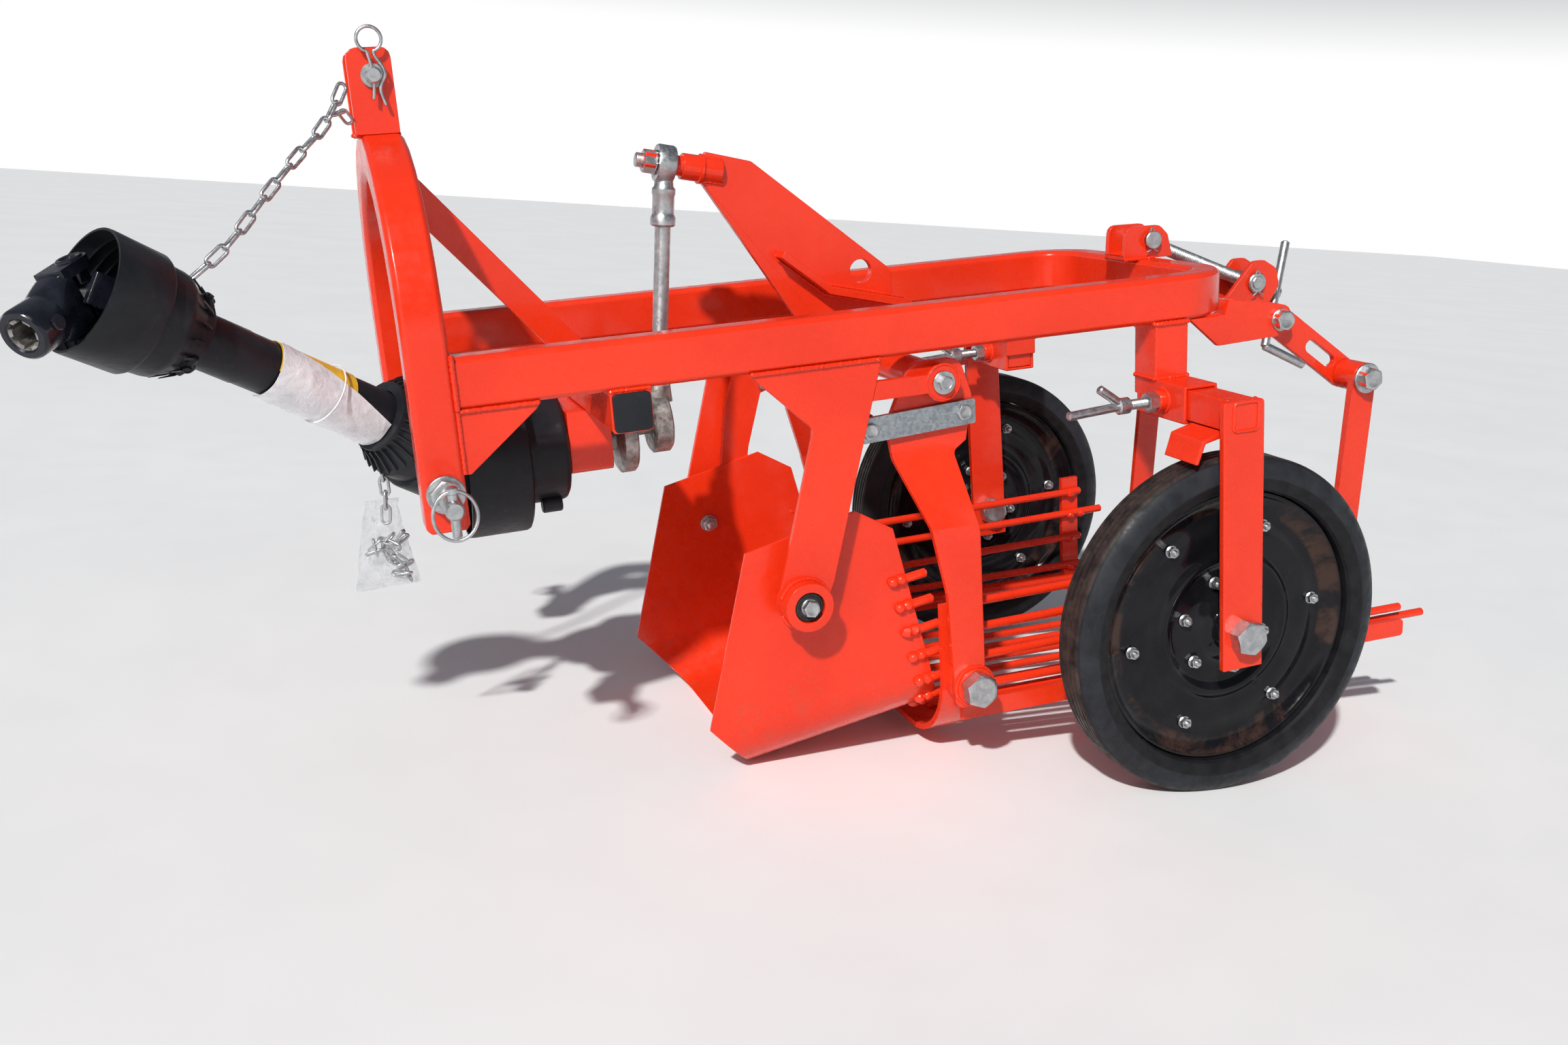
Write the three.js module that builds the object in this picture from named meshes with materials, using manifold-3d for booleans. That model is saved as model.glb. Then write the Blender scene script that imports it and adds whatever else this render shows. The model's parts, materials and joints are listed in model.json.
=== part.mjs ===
// Mounted potato digger for a compact tractor: a shaken share and sieve behind a
// three-point headstock, carried by two wheels and driven by a telescopic shaft.
// Millimetres. It is built level, with +X to the rear, +Y to the machine's right and
// +Z up from the bottom of the wheels, and is then set down on its share and wheels.
import * as THREE from 'three';
import { mergeVertices } from 'three/addons/utils/BufferGeometryUtils.js';
import Module from 'manifold-3d';

const wasm = await Module();
wasm.setup();

// ---- Driving dimensions ----------------------------------------------------------

// Clearances
const seat = 0.3; // between pieces that touch
const running = 0.5; // around a pin in its bore
const sliding = 0.4; // around a tube in its socket
const sideGap = 1.0; // between plates that turn against each other
const weld = 0.5; // how far welded pieces run into each other

// Main frame, a U of rectangular tube
const frameHalfWidth = 230;
const beamWidth = 40;
const beamHeight = 60;
const beamBottom = 640;
const frameRear = 1221;
const frameBend = 92;
const tubeEdge = 5;

// Headstock
const legFront = 115;
const legDepth = 50;
const legWidth = 50;
const legBottom = 503;
const legProud = 3;
const archCentre = 714;
const gussetReach = 96;
const gussetDrop = 74;
const gussetThickness = 8;

// Mast and top link
const mastGap = 52;
const mastThickness = 10;
const mastFront = 111;
const mastDepth = 51;
const mastTop = 1042;
const mastCorner = 12;
const topPinRadius = 9.5;
const topPinX = 139;
const topPinZ = 1010;
const topPinOverhang = 16;

// Lower link pins
const lowerPinRadius = 11;
const lowerPinX = 141;
const lowerPinZ = 549;
const lowerPinLength = 88;
const lowerFlangeRadius = 22;

// Brace from the arch to the cross tube
const braceThickness = 10;
const braceArchTop = 904;
const braceArchBottom = 846;
const braceFootFront = 338;
const braceFootRear = 385;

// Front cross tube and drive
const crossFront = 340;
const crossSize = 50;
const capThickness = 5;
const driveZ = 537;
const driveShaftRadius = 17.5;
const housingFront = 318;
const housingRear = 374;
const housingHalfWidth = 60;
const housingBottom = 506;
const crankRadius = 49;
const crankThickness = 22;
const crankThrow = 12;
const crankGap = 17;

// Master shield over the input shaft
const shieldFront = 183;
const shieldStep = 262;
const shieldRadius = 105;
const shieldNeckRadius = 72;
const shieldWall = 4;
const shieldFlare = 5;
const shieldSlant = 34; // how much further back the mouth is at the top

// Share hangers
const hangerThickness = 8;
const hangerTopFront = 511;
const hangerTopRear = 684;
const hangerNotchX = 590;
const hangerNotchZ = 562;
const hangerFootZ = 365;
const hangerFootHalf = 34;
const sharePivotX = 564;
const sharePivotZ = 341;
const shareRingRadius = 32;
const shareBushRadius = 20;
const shareRingLength = 40;

// Share, a trough of sheet
const shareHalfWidth = 196;
const shareSheet = 4;
const shareCorner = 70;
const shareSlope = THREE.MathUtils.degToRad(7.8);
const shareEdgeX = 500;
const shareEdgeZ = 101;
const shareRearEdge = [[754, 190], [776, shareEdgeZ - 11]];
const tineRadius = 6;
const tineCount = 21;
const tineTop = 339;
const tineRoot = 24;
const tineReach = 26;

// Rocker
const rockerX = 767;
const rockerZ = 600;
const rockerShaftRadius = 21;
const rockerStubRadius = 12;
const rockerRingRadius = 22;
const bearingStrap = 24;
const rockerPlateThickness = 12;
const armThickness = 10;
const armUpperFace = 206;
const armLowerFace = 245;
const armBushRadius = 26;
const armBushFace = 251;

// Connecting rod
const eyeX = 490;
const eyeZ = 885;
const studLean = THREE.MathUtils.degToRad(12);
const eyeRadius = 24;
const eyeWidth = 24;
const rodRadius = 11;
const bigEndX = 451;
const bigEndRadius = 40;
const bigEndWidth = 26;
const rodPinRadius = 9;
const crankPinReach = 22;

// Links between sieve arms and share
const linkRearX = 801;
const linkRearZ = 555;
const linkFrontX = 670;
const linkFrontZ = 547;
const linkHeight = 32;
const linkThickness = 7.5;
const linkBoltRadius = 7;

// Sieve
const sieveHalfWidth = 211;
const sieveRodRadius = 6;
const sieveBoltX = 791;
const sieveBoltZ = 189;
const sieveFloorZ = 100;
const sieveFront = 796;
const sieveRear = 1585;
const hoopX = 785;
const hoopWidth = 56;
const hoopSheet = 8;
const hoopTop = 300;
const midHoopX = 1207;
const sieveCorner = 102;
const midHoopTop = 315;
// Each side rod's height, rear end, and share of the floor's fall.
const sideRods = [[172, 1531, 1], [213, 1222, 0], [255, 1262, 0], [292, 1222, 0]];
const sieveFall = 0.021;
const floorRodCount = 7;
const floorRodPitch = 42;
const railBottom = 130;
const railHeight = 26;
const railRear = 1530;
const sieveBoltRadius = 13;

// Rear hangers and their adjuster
const rearBushX = 1400;
const rearBushZ = 534;
const rearPinX = 1366;
const rearPinZ = 172;
const rearHangerFace = 256;
const rearHangerWidth = 40;
const adjusterX = 1281;
const adjusterZ = 624;
const trunnionX = 1389;
const trunnionZ = 647;
const clevisPinX = 1204;
const clevisPinZ = 727;
const spindleRadius = 8;
const spindleTail = 58;
const rearBushRadius = 21;
const rearBoltRadius = 9;
const rearHangerThickness = 10;
const clevisGap = 36;
const lugFront = 1160;
const lugRear = 1242;
const leverWidth = 42;
const earInner = 20;
const trunnionRadius = 10;

// Wheels and their arms
const wheelRadius = 232;
const wheelWidth = 68;
const rimRadius = 186;
const axleX = 1109;
const axleZ = 250;
const axleRadius = 13;
const armTubeSize = 40;
const armTubeX = 1103;
const armTubeZ = 541;
const clampY = 247;
const socketSize = 50;
const socketInner = 186;
const socketOuter = 296;
const legPlateThickness = 10;
const legPlateWidth = 60;
const legPlateBottom = 203;
const legLean = 3;
const nearLegFace = 389;
const farLegFace = 313;
const nearWheelY = 338;
const farWheelY = 364;
const hubHalf = 36;
const wheelSides = 40;

// Drive shaft with its guards
const jointX = 204;
const guardTubeRadius = 31.5;
const guardConeRadius = 68;
const guardCollarRadius = 44;
const guardSides = 24;
const driveRise = THREE.MathUtils.degToRad(31);
const driveYaw = THREE.MathUtils.degToRad(31);
const driveLength = 534;
const yokeDroop = THREE.MathUtils.degToRad(49.5);
const yokeSwing = THREE.MathUtils.degToRad(23.7);
const splineRadius = 16;
const hubRadius = 26;
const hubReach = 100;
const sleeveStart = 157;
const sleeveEnd = 320;

// Chains
const chainRadius = 5;
const guardChainRoute = [
  [-47, -158, 838],
  [3, -119, 889],
  [41, -91, 926],
  [76, -65, 958],
];
const chainTopZ = 1003;
const bagX = 84;
const bagY = -66;
const bagTop = 504;
const bagThickness = 30;
const bagChainRadius = 4;

// ---- Shapes ----------------------------------------------------------------------

// Closed mesh with shared corners, ready to be joined or cut.
function solid(geometry) {
  const bare = new THREE.BufferGeometry();
  bare.setAttribute('position', geometry.getAttribute('position').clone());
  if (geometry.getIndex()) bare.setIndex(geometry.getIndex().clone());
  const merged = mergeVertices(bare, 1e-3);
  const corners = merged.getIndex().array;
  const triangles = [];
  for (let i = 0; i < corners.length; i += 3) {
    const [a, b, c] = corners.slice(i, i + 3);
    if (a !== b && b !== c && c !== a) triangles.push(a, b, c);
  }
  return new wasm.Manifold(new wasm.Mesh({
    numProp: 3,
    vertProperties: new Float32Array(merged.getAttribute('position').array),
    triVerts: new Uint32Array(triangles),
  }));
}

function join(...solids) {
  return solids.reduce((sum, next) => sum.add(next));
}

function cut(body, ...tools) {
  return tools.reduce((rest, tool) => rest.subtract(tool), body);
}

// Outline through [u, v, radius] corners; a corner with a radius becomes an arc.
function outline(corners, step = Math.PI / 6) {
  const points = [];
  corners.forEach(([u, v, radius = 0], index) => {
    const here = new THREE.Vector2(u, v);
    if (!radius) {
      points.push(here);
      return;
    }
    const before = corners[(index + corners.length - 1) % corners.length];
    const after = corners[(index + 1) % corners.length];
    const back = new THREE.Vector2(before[0], before[1]).sub(here).normalize();
    const ahead = new THREE.Vector2(after[0], after[1]).sub(here).normalize();
    const half = Math.acos(THREE.MathUtils.clamp(back.dot(ahead), -1, 1)) / 2;
    const centre = back.clone().add(ahead).normalize().multiplyScalar(radius / Math.sin(half)).add(here);
    const start = back.clone().multiplyScalar(radius / Math.tan(half)).add(here).sub(centre);
    const sweep = (Math.PI - 2 * half) * Math.sign(ahead.cross(back));
    const count = Math.max(2, Math.ceil(Math.abs(sweep) / step));
    for (let i = 0; i <= count; i += 1) {
      const spoke = start.clone().rotateAround(new THREE.Vector2(), (sweep * i) / count);
      points.push(spoke.add(centre));
    }
  });
  return points;
}

function circlePoints(u, v, radius, sides = 16) {
  const points = [];
  for (let i = 0; i < sides; i += 1) {
    const angle = (2 * Math.PI * i) / sides;
    points.push(new THREE.Vector2(u + radius * Math.cos(angle), v + radius * Math.sin(angle)));
  }
  return points;
}

const planes = {
  xy: [new THREE.Vector3(1, 0, 0), new THREE.Vector3(0, 1, 0), new THREE.Vector3(0, 0, 1)],
  xz: [new THREE.Vector3(1, 0, 0), new THREE.Vector3(0, 0, 1), new THREE.Vector3(0, -1, 0)],
  yz: [new THREE.Vector3(0, 1, 0), new THREE.Vector3(0, 0, 1), new THREE.Vector3(1, 0, 0)],
};

// Plate in a plane, as thick as from one coordinate to the other along its normal.
function plate(plane, points, from, to, { holes = [], edge = 0 } = {}) {
  const shape = new THREE.Shape(points);
  holes.forEach(([u, v, radius, sides]) => {
    shape.holes.push(new THREE.Path(circlePoints(u, v, radius, sides)));
  });
  const low = Math.min(from, to);
  const high = Math.max(from, to);
  const geometry = new THREE.ExtrudeGeometry(shape, {
    depth: high - low - 2 * edge,
    bevelEnabled: edge > 0,
    bevelThickness: edge,
    bevelSize: edge,
    bevelOffset: -edge,
    bevelSegments: 1,
  });
  geometry.translate(0, 0, edge);
  const [u, v, normal] = planes[plane];
  geometry.applyMatrix4(new THREE.Matrix4().makeBasis(u, v, normal));
  const start = normal.clone().multiplyScalar(plane === 'xz' ? -high : low);
  geometry.translate(start.x, start.y, start.z);
  return solid(geometry);
}

function box(x, y, z) {
  const size = [x, y, z].map(([a, b]) => Math.abs(b - a));
  const middle = [x, y, z].map(([a, b]) => (a + b) / 2);
  return solid(new THREE.BoxGeometry(...size).translate(...middle));
}

// Round bar along an axis; the centre holds the other two coordinates in order.
function bar(axis, radius, from, to, [a, b], sides = 16, endRadius = radius) {
  const length = Math.abs(to - from);
  const middle = (from + to) / 2;
  const geometry = new THREE.CylinderGeometry(endRadius, radius, length, sides);
  if (axis === 'x') geometry.rotateZ(-Math.PI / 2).translate(middle, a, b);
  if (axis === 'y') geometry.translate(a, middle, b);
  if (axis === 'z') geometry.rotateX(Math.PI / 2).translate(a, b, middle);
  return solid(geometry);
}

function hexagon(axis, acrossFlats, from, to, centre) {
  return bar(axis, acrossFlats / Math.sqrt(3), from, to, centre, 6);
}

function ring(axis, outer, inner, from, to, centre, sides = 24) {
  const reach = Math.sign(to - from) || 1;
  const body = bar(axis, outer, from, to, centre, sides);
  return cut(body, bar(axis, inner, from - reach, to + reach, centre, sides));
}

// Round bar between two points in space.
function rod(start, end, radius, sides = 8) {
  const a = new THREE.Vector3(...start);
  const b = new THREE.Vector3(...end);
  const geometry = new THREE.CylinderGeometry(radius, radius, a.distanceTo(b), sides);
  const along = b.clone().sub(a).normalize();
  const turn = new THREE.Quaternion().setFromUnitVectors(new THREE.Vector3(0, 1, 0), along);
  geometry.applyQuaternion(turn);
  geometry.translate(...a.add(b).multiplyScalar(0.5));
  return solid(geometry);
}

// Solid of revolution about an axis through [radius, along] points.
function revolve(axis, profile, [a, b], sides = 28) {
  const points = profile.map(([radius, along]) => new THREE.Vector2(radius, along));
  if (THREE.ShapeUtils.isClockWise(points)) points.reverse();
  points.push(points[0].clone());
  const geometry = new THREE.LatheGeometry(points, sides);
  if (axis === 'x') geometry.rotateZ(-Math.PI / 2).translate(0, a, b);
  if (axis === 'y') geometry.translate(a, 0, b);
  if (axis === 'z') geometry.rotateX(Math.PI / 2).translate(a, b, 0);
  return solid(geometry);
}

// Range on one side of the machine, -1 for left and +1 for right.
function across(side, a, b) {
  return side < 0 ? [-b, -a] : [a, b];
}

const sides = { left: -1, right: 1 };

// ---- Assembly --------------------------------------------------------------------

const machine = new THREE.Group();

function add(name, shape, finish, group = machine) {
  const mesh = shape.getMesh();
  const positions = new Float32Array((mesh.vertProperties.length / mesh.numProp) * 3);
  for (let i = 0; i < positions.length; i += 1) {
    positions[i] = mesh.vertProperties[Math.floor(i / 3) * mesh.numProp + (i % 3)];
  }
  const geometry = new THREE.BufferGeometry();
  geometry.setAttribute('position', new THREE.BufferAttribute(positions, 3));
  geometry.setIndex(new THREE.BufferAttribute(mesh.triVerts, 1));
  geometry.computeVertexNormals();
  const [color, roughness, metalness] = finish;
  const part = new THREE.Mesh(geometry, new THREE.MeshStandardMaterial({ color, roughness, metalness }));
  part.name = name;
  group.add(part);
  return part;
}

const redPaint = [0xf2402a, 0.3, 0.0];
const zinc = [0xb9bec4, 0.35, 0.9];
const castSteel = [0x8d8a86, 0.55, 0.8];
const blackPlastic = [0x17181b, 0.5, 0.0];
const blackPaint = [0x0d0d10, 0.25, 0.1];
const rubber = [0x1b1b1e, 0.75, 0.0];
const paper = [0xe9eaec, 0.6, 0.0];
const clearBag = [0xcfd6da, 0.3, 0.0];

// ---- Main frame and headstock ----------------------------------------------------

const beamTop = beamBottom + beamHeight;
const beamInner = frameHalfWidth - beamWidth;
const legRear = legFront + legDepth;
const frameFront = legRear + seat;
const legOuter = frameHalfWidth + legProud;
const legInner = legOuter - legWidth;

function mainFrame() {
  const half = frameHalfWidth;
  const corners = [
    [frameFront, -half],
    [frameRear, -half, frameBend],
    [frameRear, half, frameBend],
    [frameFront, half],
    [frameFront, beamInner],
    [frameRear - beamWidth, beamInner, frameBend - beamWidth],
    [frameRear - beamWidth, -beamInner, frameBend - beamWidth],
    [frameFront, -beamInner],
  ];
  return plate('xy', outline(corners, Math.PI / 20), beamBottom, beamTop, { edge: tubeEdge });
}

function archHalf(radius, rising) {
  const points = [];
  const count = 16;
  for (let i = 0; i <= count; i += 1) {
    const angle = (Math.PI * (rising ? i : count - i)) / count;
    points.push(new THREE.Vector2(radius * Math.cos(angle), archCentre + radius * Math.sin(angle)));
  }
  return points;
}

function headstockArch() {
  const points = [
    new THREE.Vector2(legOuter, legBottom),
    ...archHalf(legOuter, true),
    new THREE.Vector2(-legOuter, legBottom),
    new THREE.Vector2(-legInner, legBottom),
    ...archHalf(legInner, false),
    new THREE.Vector2(legInner, legBottom),
  ];
  const arch = plate('yz', points, legFront, legRear, { edge: tubeEdge });
  const bore = bar('y', lowerPinRadius + running, -legOuter - 1, legOuter + 1, [lowerPinX, lowerPinZ]);
  return cut(arch, bore);
}

add('main_frame', mainFrame(), redPaint);
add('headstock_arch', headstockArch(), redPaint);

function gusset(side) {
  const corners = [
    [legRear + seat, beamBottom - seat],
    [legRear + gussetReach, beamBottom - seat],
    [legRear + gussetReach - 6, beamBottom - seat - 8],
    [legRear + seat + 8, beamBottom - gussetDrop],
    [legRear + seat, beamBottom - gussetDrop],
  ];
  const outer = frameHalfWidth - 2;
  return plate('xz', outline(corners), ...across(side, outer - gussetThickness, outer));
}

function lowerLinkPin(side) {
  const centre = [lowerPinX, lowerPinZ];
  const outer = legOuter + seat;
  const inner = legInner - seat;
  const nutWidth = 16;
  const flange = bar('y', lowerFlangeRadius, side * outer, side * (outer + 8), centre);
  const collar = hexagon('y', 34, side * (outer + 7), side * (outer + 20), centre);
  const nut = hexagon('y', 34, side * inner, side * (inner - nutWidth), centre);
  const shaftEnds = across(side, inner - nutWidth - 4, outer + lowerPinLength);
  const shaft = bar('y', lowerPinRadius, ...shaftEnds, centre);
  return join(shaft, flange, collar, nut);
}

Object.entries(sides).forEach(([name, side]) => {
  add(`gusset_${name}`, gusset(side), redPaint);
  add(`lower_link_pin_${name}`, lowerLinkPin(side), zinc);
});

// ---- Mast ------------------------------------------------------------------------

const mastInner = mastGap / 2;
const mastOuter = mastInner + mastThickness;

function mastPlate(side) {
  const bottom = archCentre + legOuter - 20;
  const corners = [
    [mastFront, bottom],
    [mastFront + mastDepth, bottom],
    [mastFront + mastDepth, mastTop, mastCorner],
    [mastFront, mastTop, mastCorner],
  ];
  const holes = [[topPinX, topPinZ, topPinRadius + running]];
  const blank = plate('xz', outline(corners), ...across(side, mastInner, mastOuter), { holes });
  const saddle = plate('yz', archHalf(legOuter + seat, true), mastFront - 1, mastFront + mastDepth + 1);
  return cut(blank, saddle);
}

function topLinkPin() {
  const centre = [topPinX, topPinZ];
  const head = bar('y', 15, mastOuter + seat, mastOuter + seat + 7, centre);
  return join(bar('y', topPinRadius, -mastOuter - topPinOverhang, mastOuter + seat + 1, centre), head);
}

Object.entries(sides).forEach(([name, side]) => add(`mast_plate_${name}`, mastPlate(side), redPaint));
add('top_link_pin', topLinkPin(), zinc);

// ---- Front cross tube, brace and drive -------------------------------------------

const crossRear = crossFront + crossSize;
const crossTop = beamBottom - seat;
const crossBottom = crossTop - crossSize;

function brace() {
  const corners = [
    [legRear + seat, braceArchTop],
    [legRear + seat, braceArchBottom],
    [braceFootFront, crossTop + seat],
    [braceFootRear, crossTop + seat],
  ];
  return plate('xz', outline(corners), -braceThickness / 2, braceThickness / 2);
}

function crossTube() {
  const corners = [
    [crossFront, crossBottom, tubeEdge],
    [crossRear, crossBottom, tubeEdge],
    [crossRear, crossTop, tubeEdge],
    [crossFront, crossTop, tubeEdge],
  ];
  return plate('xz', outline(corners), -frameHalfWidth, frameHalfWidth);
}

function tubeCap(side) {
  const inset = 2;
  const corners = [
    [crossFront + inset, crossBottom + inset, tubeEdge],
    [crossRear - inset, crossBottom + inset, tubeEdge],
    [crossRear - inset, crossTop - inset, tubeEdge],
    [crossFront + inset, crossTop - inset, tubeEdge],
  ];
  const inner = frameHalfWidth + seat;
  return plate('xz', outline(corners), ...across(side, inner, inner + capThickness));
}

add('headstock_brace', brace(), redPaint);
add('front_cross_tube', crossTube(), redPaint);
Object.entries(sides).forEach(([name, side]) => add(`tube_cap_${name}`, tubeCap(side), blackPlastic));

const driveCentre = [0, driveZ];
const shieldRear = housingFront - seat;

function crankHousing() {
  const top = crossBottom - seat;
  const corners = [
    [-housingHalfWidth, top],
    [-housingHalfWidth, housingBottom, 14],
    [housingHalfWidth, housingBottom, 14],
    [housingHalfWidth, top],
  ];
  const block = plate('yz', outline(corners), housingFront, housingRear);
  const bore = bar('x', driveShaftRadius + running, housingFront - 1, housingRear + 1, driveCentre);
  return cut(block, bore);
}

const crankFront = housingRear + crankGap;
const crankRear = crankFront + crankThickness;

function crankShaft() {
  const shaft = bar('x', driveShaftRadius, jointX + 44, crankFront + 1, driveCentre);
  return join(shaft, bar('x', crankRadius, crankFront, crankRear, driveCentre, 24));
}

function masterShield() {
  const profile = [
    [shieldRadius + shieldFlare, shieldFront],
    [shieldRadius, shieldStep],
    [shieldNeckRadius, shieldStep + 10],
    [shieldNeckRadius, shieldRear],
    [driveShaftRadius + 8, shieldRear],
    [driveShaftRadius + 8, shieldRear - shieldWall],
    [shieldNeckRadius - shieldWall, shieldRear - shieldWall],
    [shieldNeckRadius - shieldWall, shieldStep + 10 - shieldWall],
    [shieldRadius - shieldWall, shieldStep - shieldWall],
    [shieldRadius + shieldFlare - shieldWall, shieldFront],
  ];
  const mouthRadius = shieldRadius + shieldFlare;
  const lower = driveZ - mouthRadius;
  const upper = driveZ + mouthRadius;
  const slant = [
    [shieldFront - 10, lower - 10],
    [shieldFront, lower - 10],
    [shieldFront + shieldSlant, upper + 10],
    [shieldFront - 10, upper + 10],
  ];
  const mouth = plate('xz', outline(slant), -mouthRadius - 10, mouthRadius + 10);
  return cut(revolve('x', profile, driveCentre), mouth);
}

add('crank_housing', crankHousing(), redPaint);
add('crank_shaft', crankShaft(), castSteel);
add('master_shield', masterShield(), blackPlastic);

// ---- Share and its hangers -------------------------------------------------------

const hangerFace = frameHalfWidth;
const hangerInner = hangerFace - hangerThickness;
const shareRingOuter = hangerFace + 20;
const shareRingInner = shareRingOuter - shareRingLength;

const hangerCornerRear = [hangerTopRear, beamBottom - seat];
const hangerFootRear = [sharePivotX + hangerFootHalf + 8, hangerFootZ];

// Tapered plate, straight behind and notched in front, welded round the bush's ring.
function shareHanger(side) {
  const corners = [
    [hangerTopFront, beamBottom - seat],
    [hangerNotchX, hangerNotchZ, 16],
    [sharePivotX - hangerFootHalf + 4, hangerFootZ],
    [sharePivotX - hangerFootHalf + 2, sharePivotZ],
    [sharePivotX, sharePivotZ - shareRingRadius + 4],
    [sharePivotX + hangerFootHalf - 2, sharePivotZ],
    hangerFootRear,
    hangerCornerRear,
  ];
  const web = plate('xz', outline(corners), ...across(side, hangerInner, hangerFace));
  const centre = [sharePivotX, sharePivotZ];
  const boss = bar('y', shareRingRadius, side * shareRingInner, side * shareRingOuter, centre, 20);
  const bore = bar('y', shareBushRadius, ...across(side, shareRingInner - 1, shareRingOuter + 1), centre, 20);
  return cut(join(web, boss), bore);
}

// Rear edge of a hanger at a height, where the rocker's bearing strap is welded on.
function hangerEdge(z) {
  const part = (z - hangerFootRear[1]) / (hangerCornerRear[1] - hangerFootRear[1]);
  return THREE.MathUtils.lerp(hangerFootRear[0], hangerCornerRear[0], part);
}

// Rubber bush in the hanger's ring with the bolt through it into the share's wall.
function sharePivot(side) {
  const centre = [sharePivotX, sharePivotZ];
  const wall = shareHalfWidth - shareSheet;
  const bushEnds = across(side, shareRingInner - 6, shareRingOuter - 2);
  const bush = bar('y', shareBushRadius - seat, ...bushEnds, centre, 20);
  const bolt = bar('y', 6, side * (wall - 14), side * shareRingOuter, centre, 16);
  const head = hexagon('y', 19, side * (shareRingOuter - 3), side * (shareRingOuter + 8), centre);
  const nut = hexagon('y', 19, side * (wall - seat), side * (wall - 10), centre);
  return join(bush, bolt, head, nut);
}

function troughSection(halfWidth, corner, floor, height) {
  return outline([
    [-halfWidth, height],
    [-halfWidth, floor, corner],
    [halfWidth, floor, corner],
    [halfWidth, height],
  ], Math.PI / 10);
}

// Points of the trough's sheet, closed round its thickness.
function troughSheet(halfWidth, corner, sheet, height) {
  const outer = troughSection(halfWidth, corner, 0, height);
  const inner = troughSection(halfWidth - sheet, corner - sheet, sheet, height);
  return [...outer, ...inner.reverse()];
}

// The trough rises to the rear; its sides are trimmed to the outline seen from the side.
function shareTrough() {
  const reach = 500;
  const section = new THREE.Shape(troughSheet(shareHalfWidth, shareCorner, shareSheet, reach));
  const geometry = new THREE.ExtrudeGeometry(section, { depth: 2 * reach, bevelEnabled: false });
  geometry.translate(0, 0, -reach);
  geometry.applyMatrix4(new THREE.Matrix4().makeBasis(...planes.yz));
  geometry.rotateY(-shareSlope);
  geometry.translate(shareEdgeX, 0, shareEdgeZ);
  const side = [
    [shareEdgeX, 408],
    [652, 441],
    [704, 409],
    ...shareRearEdge,
    [shareEdgeX, shareEdgeZ - 11],
    [shareEdgeX, shareEdgeZ + 1],
    [436, 178],
  ];
  const trim = plate('xz', outline(side), -shareHalfWidth - 5, shareHalfWidth + 5);
  return solid(geometry).intersect(trim);
}

// Strap that leans back from the share's wall, above the bush's ring, to the link's front bolt.
function shareLever(side) {
  const foot = sharePivotZ + shareRingRadius + 8;
  const corners = [
    [sharePivotX + 21, foot],
    [sharePivotX + 62, foot],
    [638, 450],
    [linkFrontX - 7, linkFrontZ - 16],
    [linkFrontX + 19, linkFrontZ - 7, 6],
    [linkFrontX + 8, linkFrontZ + 21, 8],
    [linkFrontX - 46, linkFrontZ + 21, 14],
    [606, 520, 30],
  ];
  const holes = [[linkFrontX, linkFrontZ, linkBoltRadius + running]];
  const inner = shareHalfWidth - weld;
  return plate('xz', outline(corners), ...across(side, inner, armUpperFace), { holes });
}

// Rear edge of the share at a height.
function shareRearAt(z) {
  const [upper, lower] = z > shareRearEdge[0][1] ? [[704, 409], shareRearEdge[0]] : shareRearEdge;
  return THREE.MathUtils.lerp(lower[0], upper[0], (z - lower[1]) / (upper[1] - lower[1]));
}

// Fingers welded outside the rear edge of the trough, round its walls and floor.
function shareTines() {
  const proud = 2;
  const floor = shareEdgeZ + (shareRearEdge[1][0] - shareEdgeX) * Math.tan(shareSlope);
  const section = troughSection(shareHalfWidth + proud, shareCorner + proud, floor - proud, tineTop);
  const path = new THREE.CurvePath();
  for (let i = 0; i + 1 < section.length; i += 1) {
    path.add(new THREE.LineCurve(section[i], section[i + 1]));
  }
  const along = [Math.cos(shareSlope), 0, Math.sin(shareSlope)];
  const fingers = path.getSpacedPoints(tineCount - 1).map(({ x: y, y: z }) => {
    const edge = [shareRearAt(z), y, z];
    const root = edge.map((value, i) => value - tineRoot * along[i]);
    const tip = edge.map((value, i) => value + tineReach * along[i]);
    return rod(root, tip, tineRadius);
  });
  return join(...fingers);
}

function share() {
  const body = join(shareTrough(), shareLever(-1), shareLever(1), shareTines());
  const reach = shareHalfWidth + 20;
  const bore = bar('y', 6 + running, -reach, reach, [sharePivotX, sharePivotZ], 16);
  return cut(body, bore);
}

add('share', share(), redPaint);
Object.entries(sides).forEach(([name, side]) => {
  add(`share_hanger_${name}`, shareHanger(side), redPaint);
  add(`share_pivot_${name}`, sharePivot(side), rubber);
});

// ---- Rocker, sieve arms, connecting rod and links --------------------------------

const rockerCentre = [rockerX, rockerZ];
const armUpperInner = armUpperFace - armThickness;
const armLowerInner = armLowerFace - armThickness;
const ringInner = armUpperFace + 12;

function rockerBearing(side) {
  const low = rockerZ - bearingStrap / 2;
  const high = rockerZ + bearingStrap / 2;
  const strap = [
    [hangerEdge(low) + seat, low],
    [rockerX, low],
    [rockerX, high],
    [hangerEdge(high) + seat, high],
  ];
  const outer = hangerFace - 1;
  const carrier = plate('xz', outline(strap), ...across(side, ringInner, outer));
  const bore = bar('y', rockerStubRadius + running, side * (ringInner - 1), side * (outer + 1), rockerCentre);
  const collar = bar('y', rockerRingRadius, side * ringInner, side * outer, rockerCentre, 20);
  return cut(join(carrier, collar), bore);
}

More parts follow.
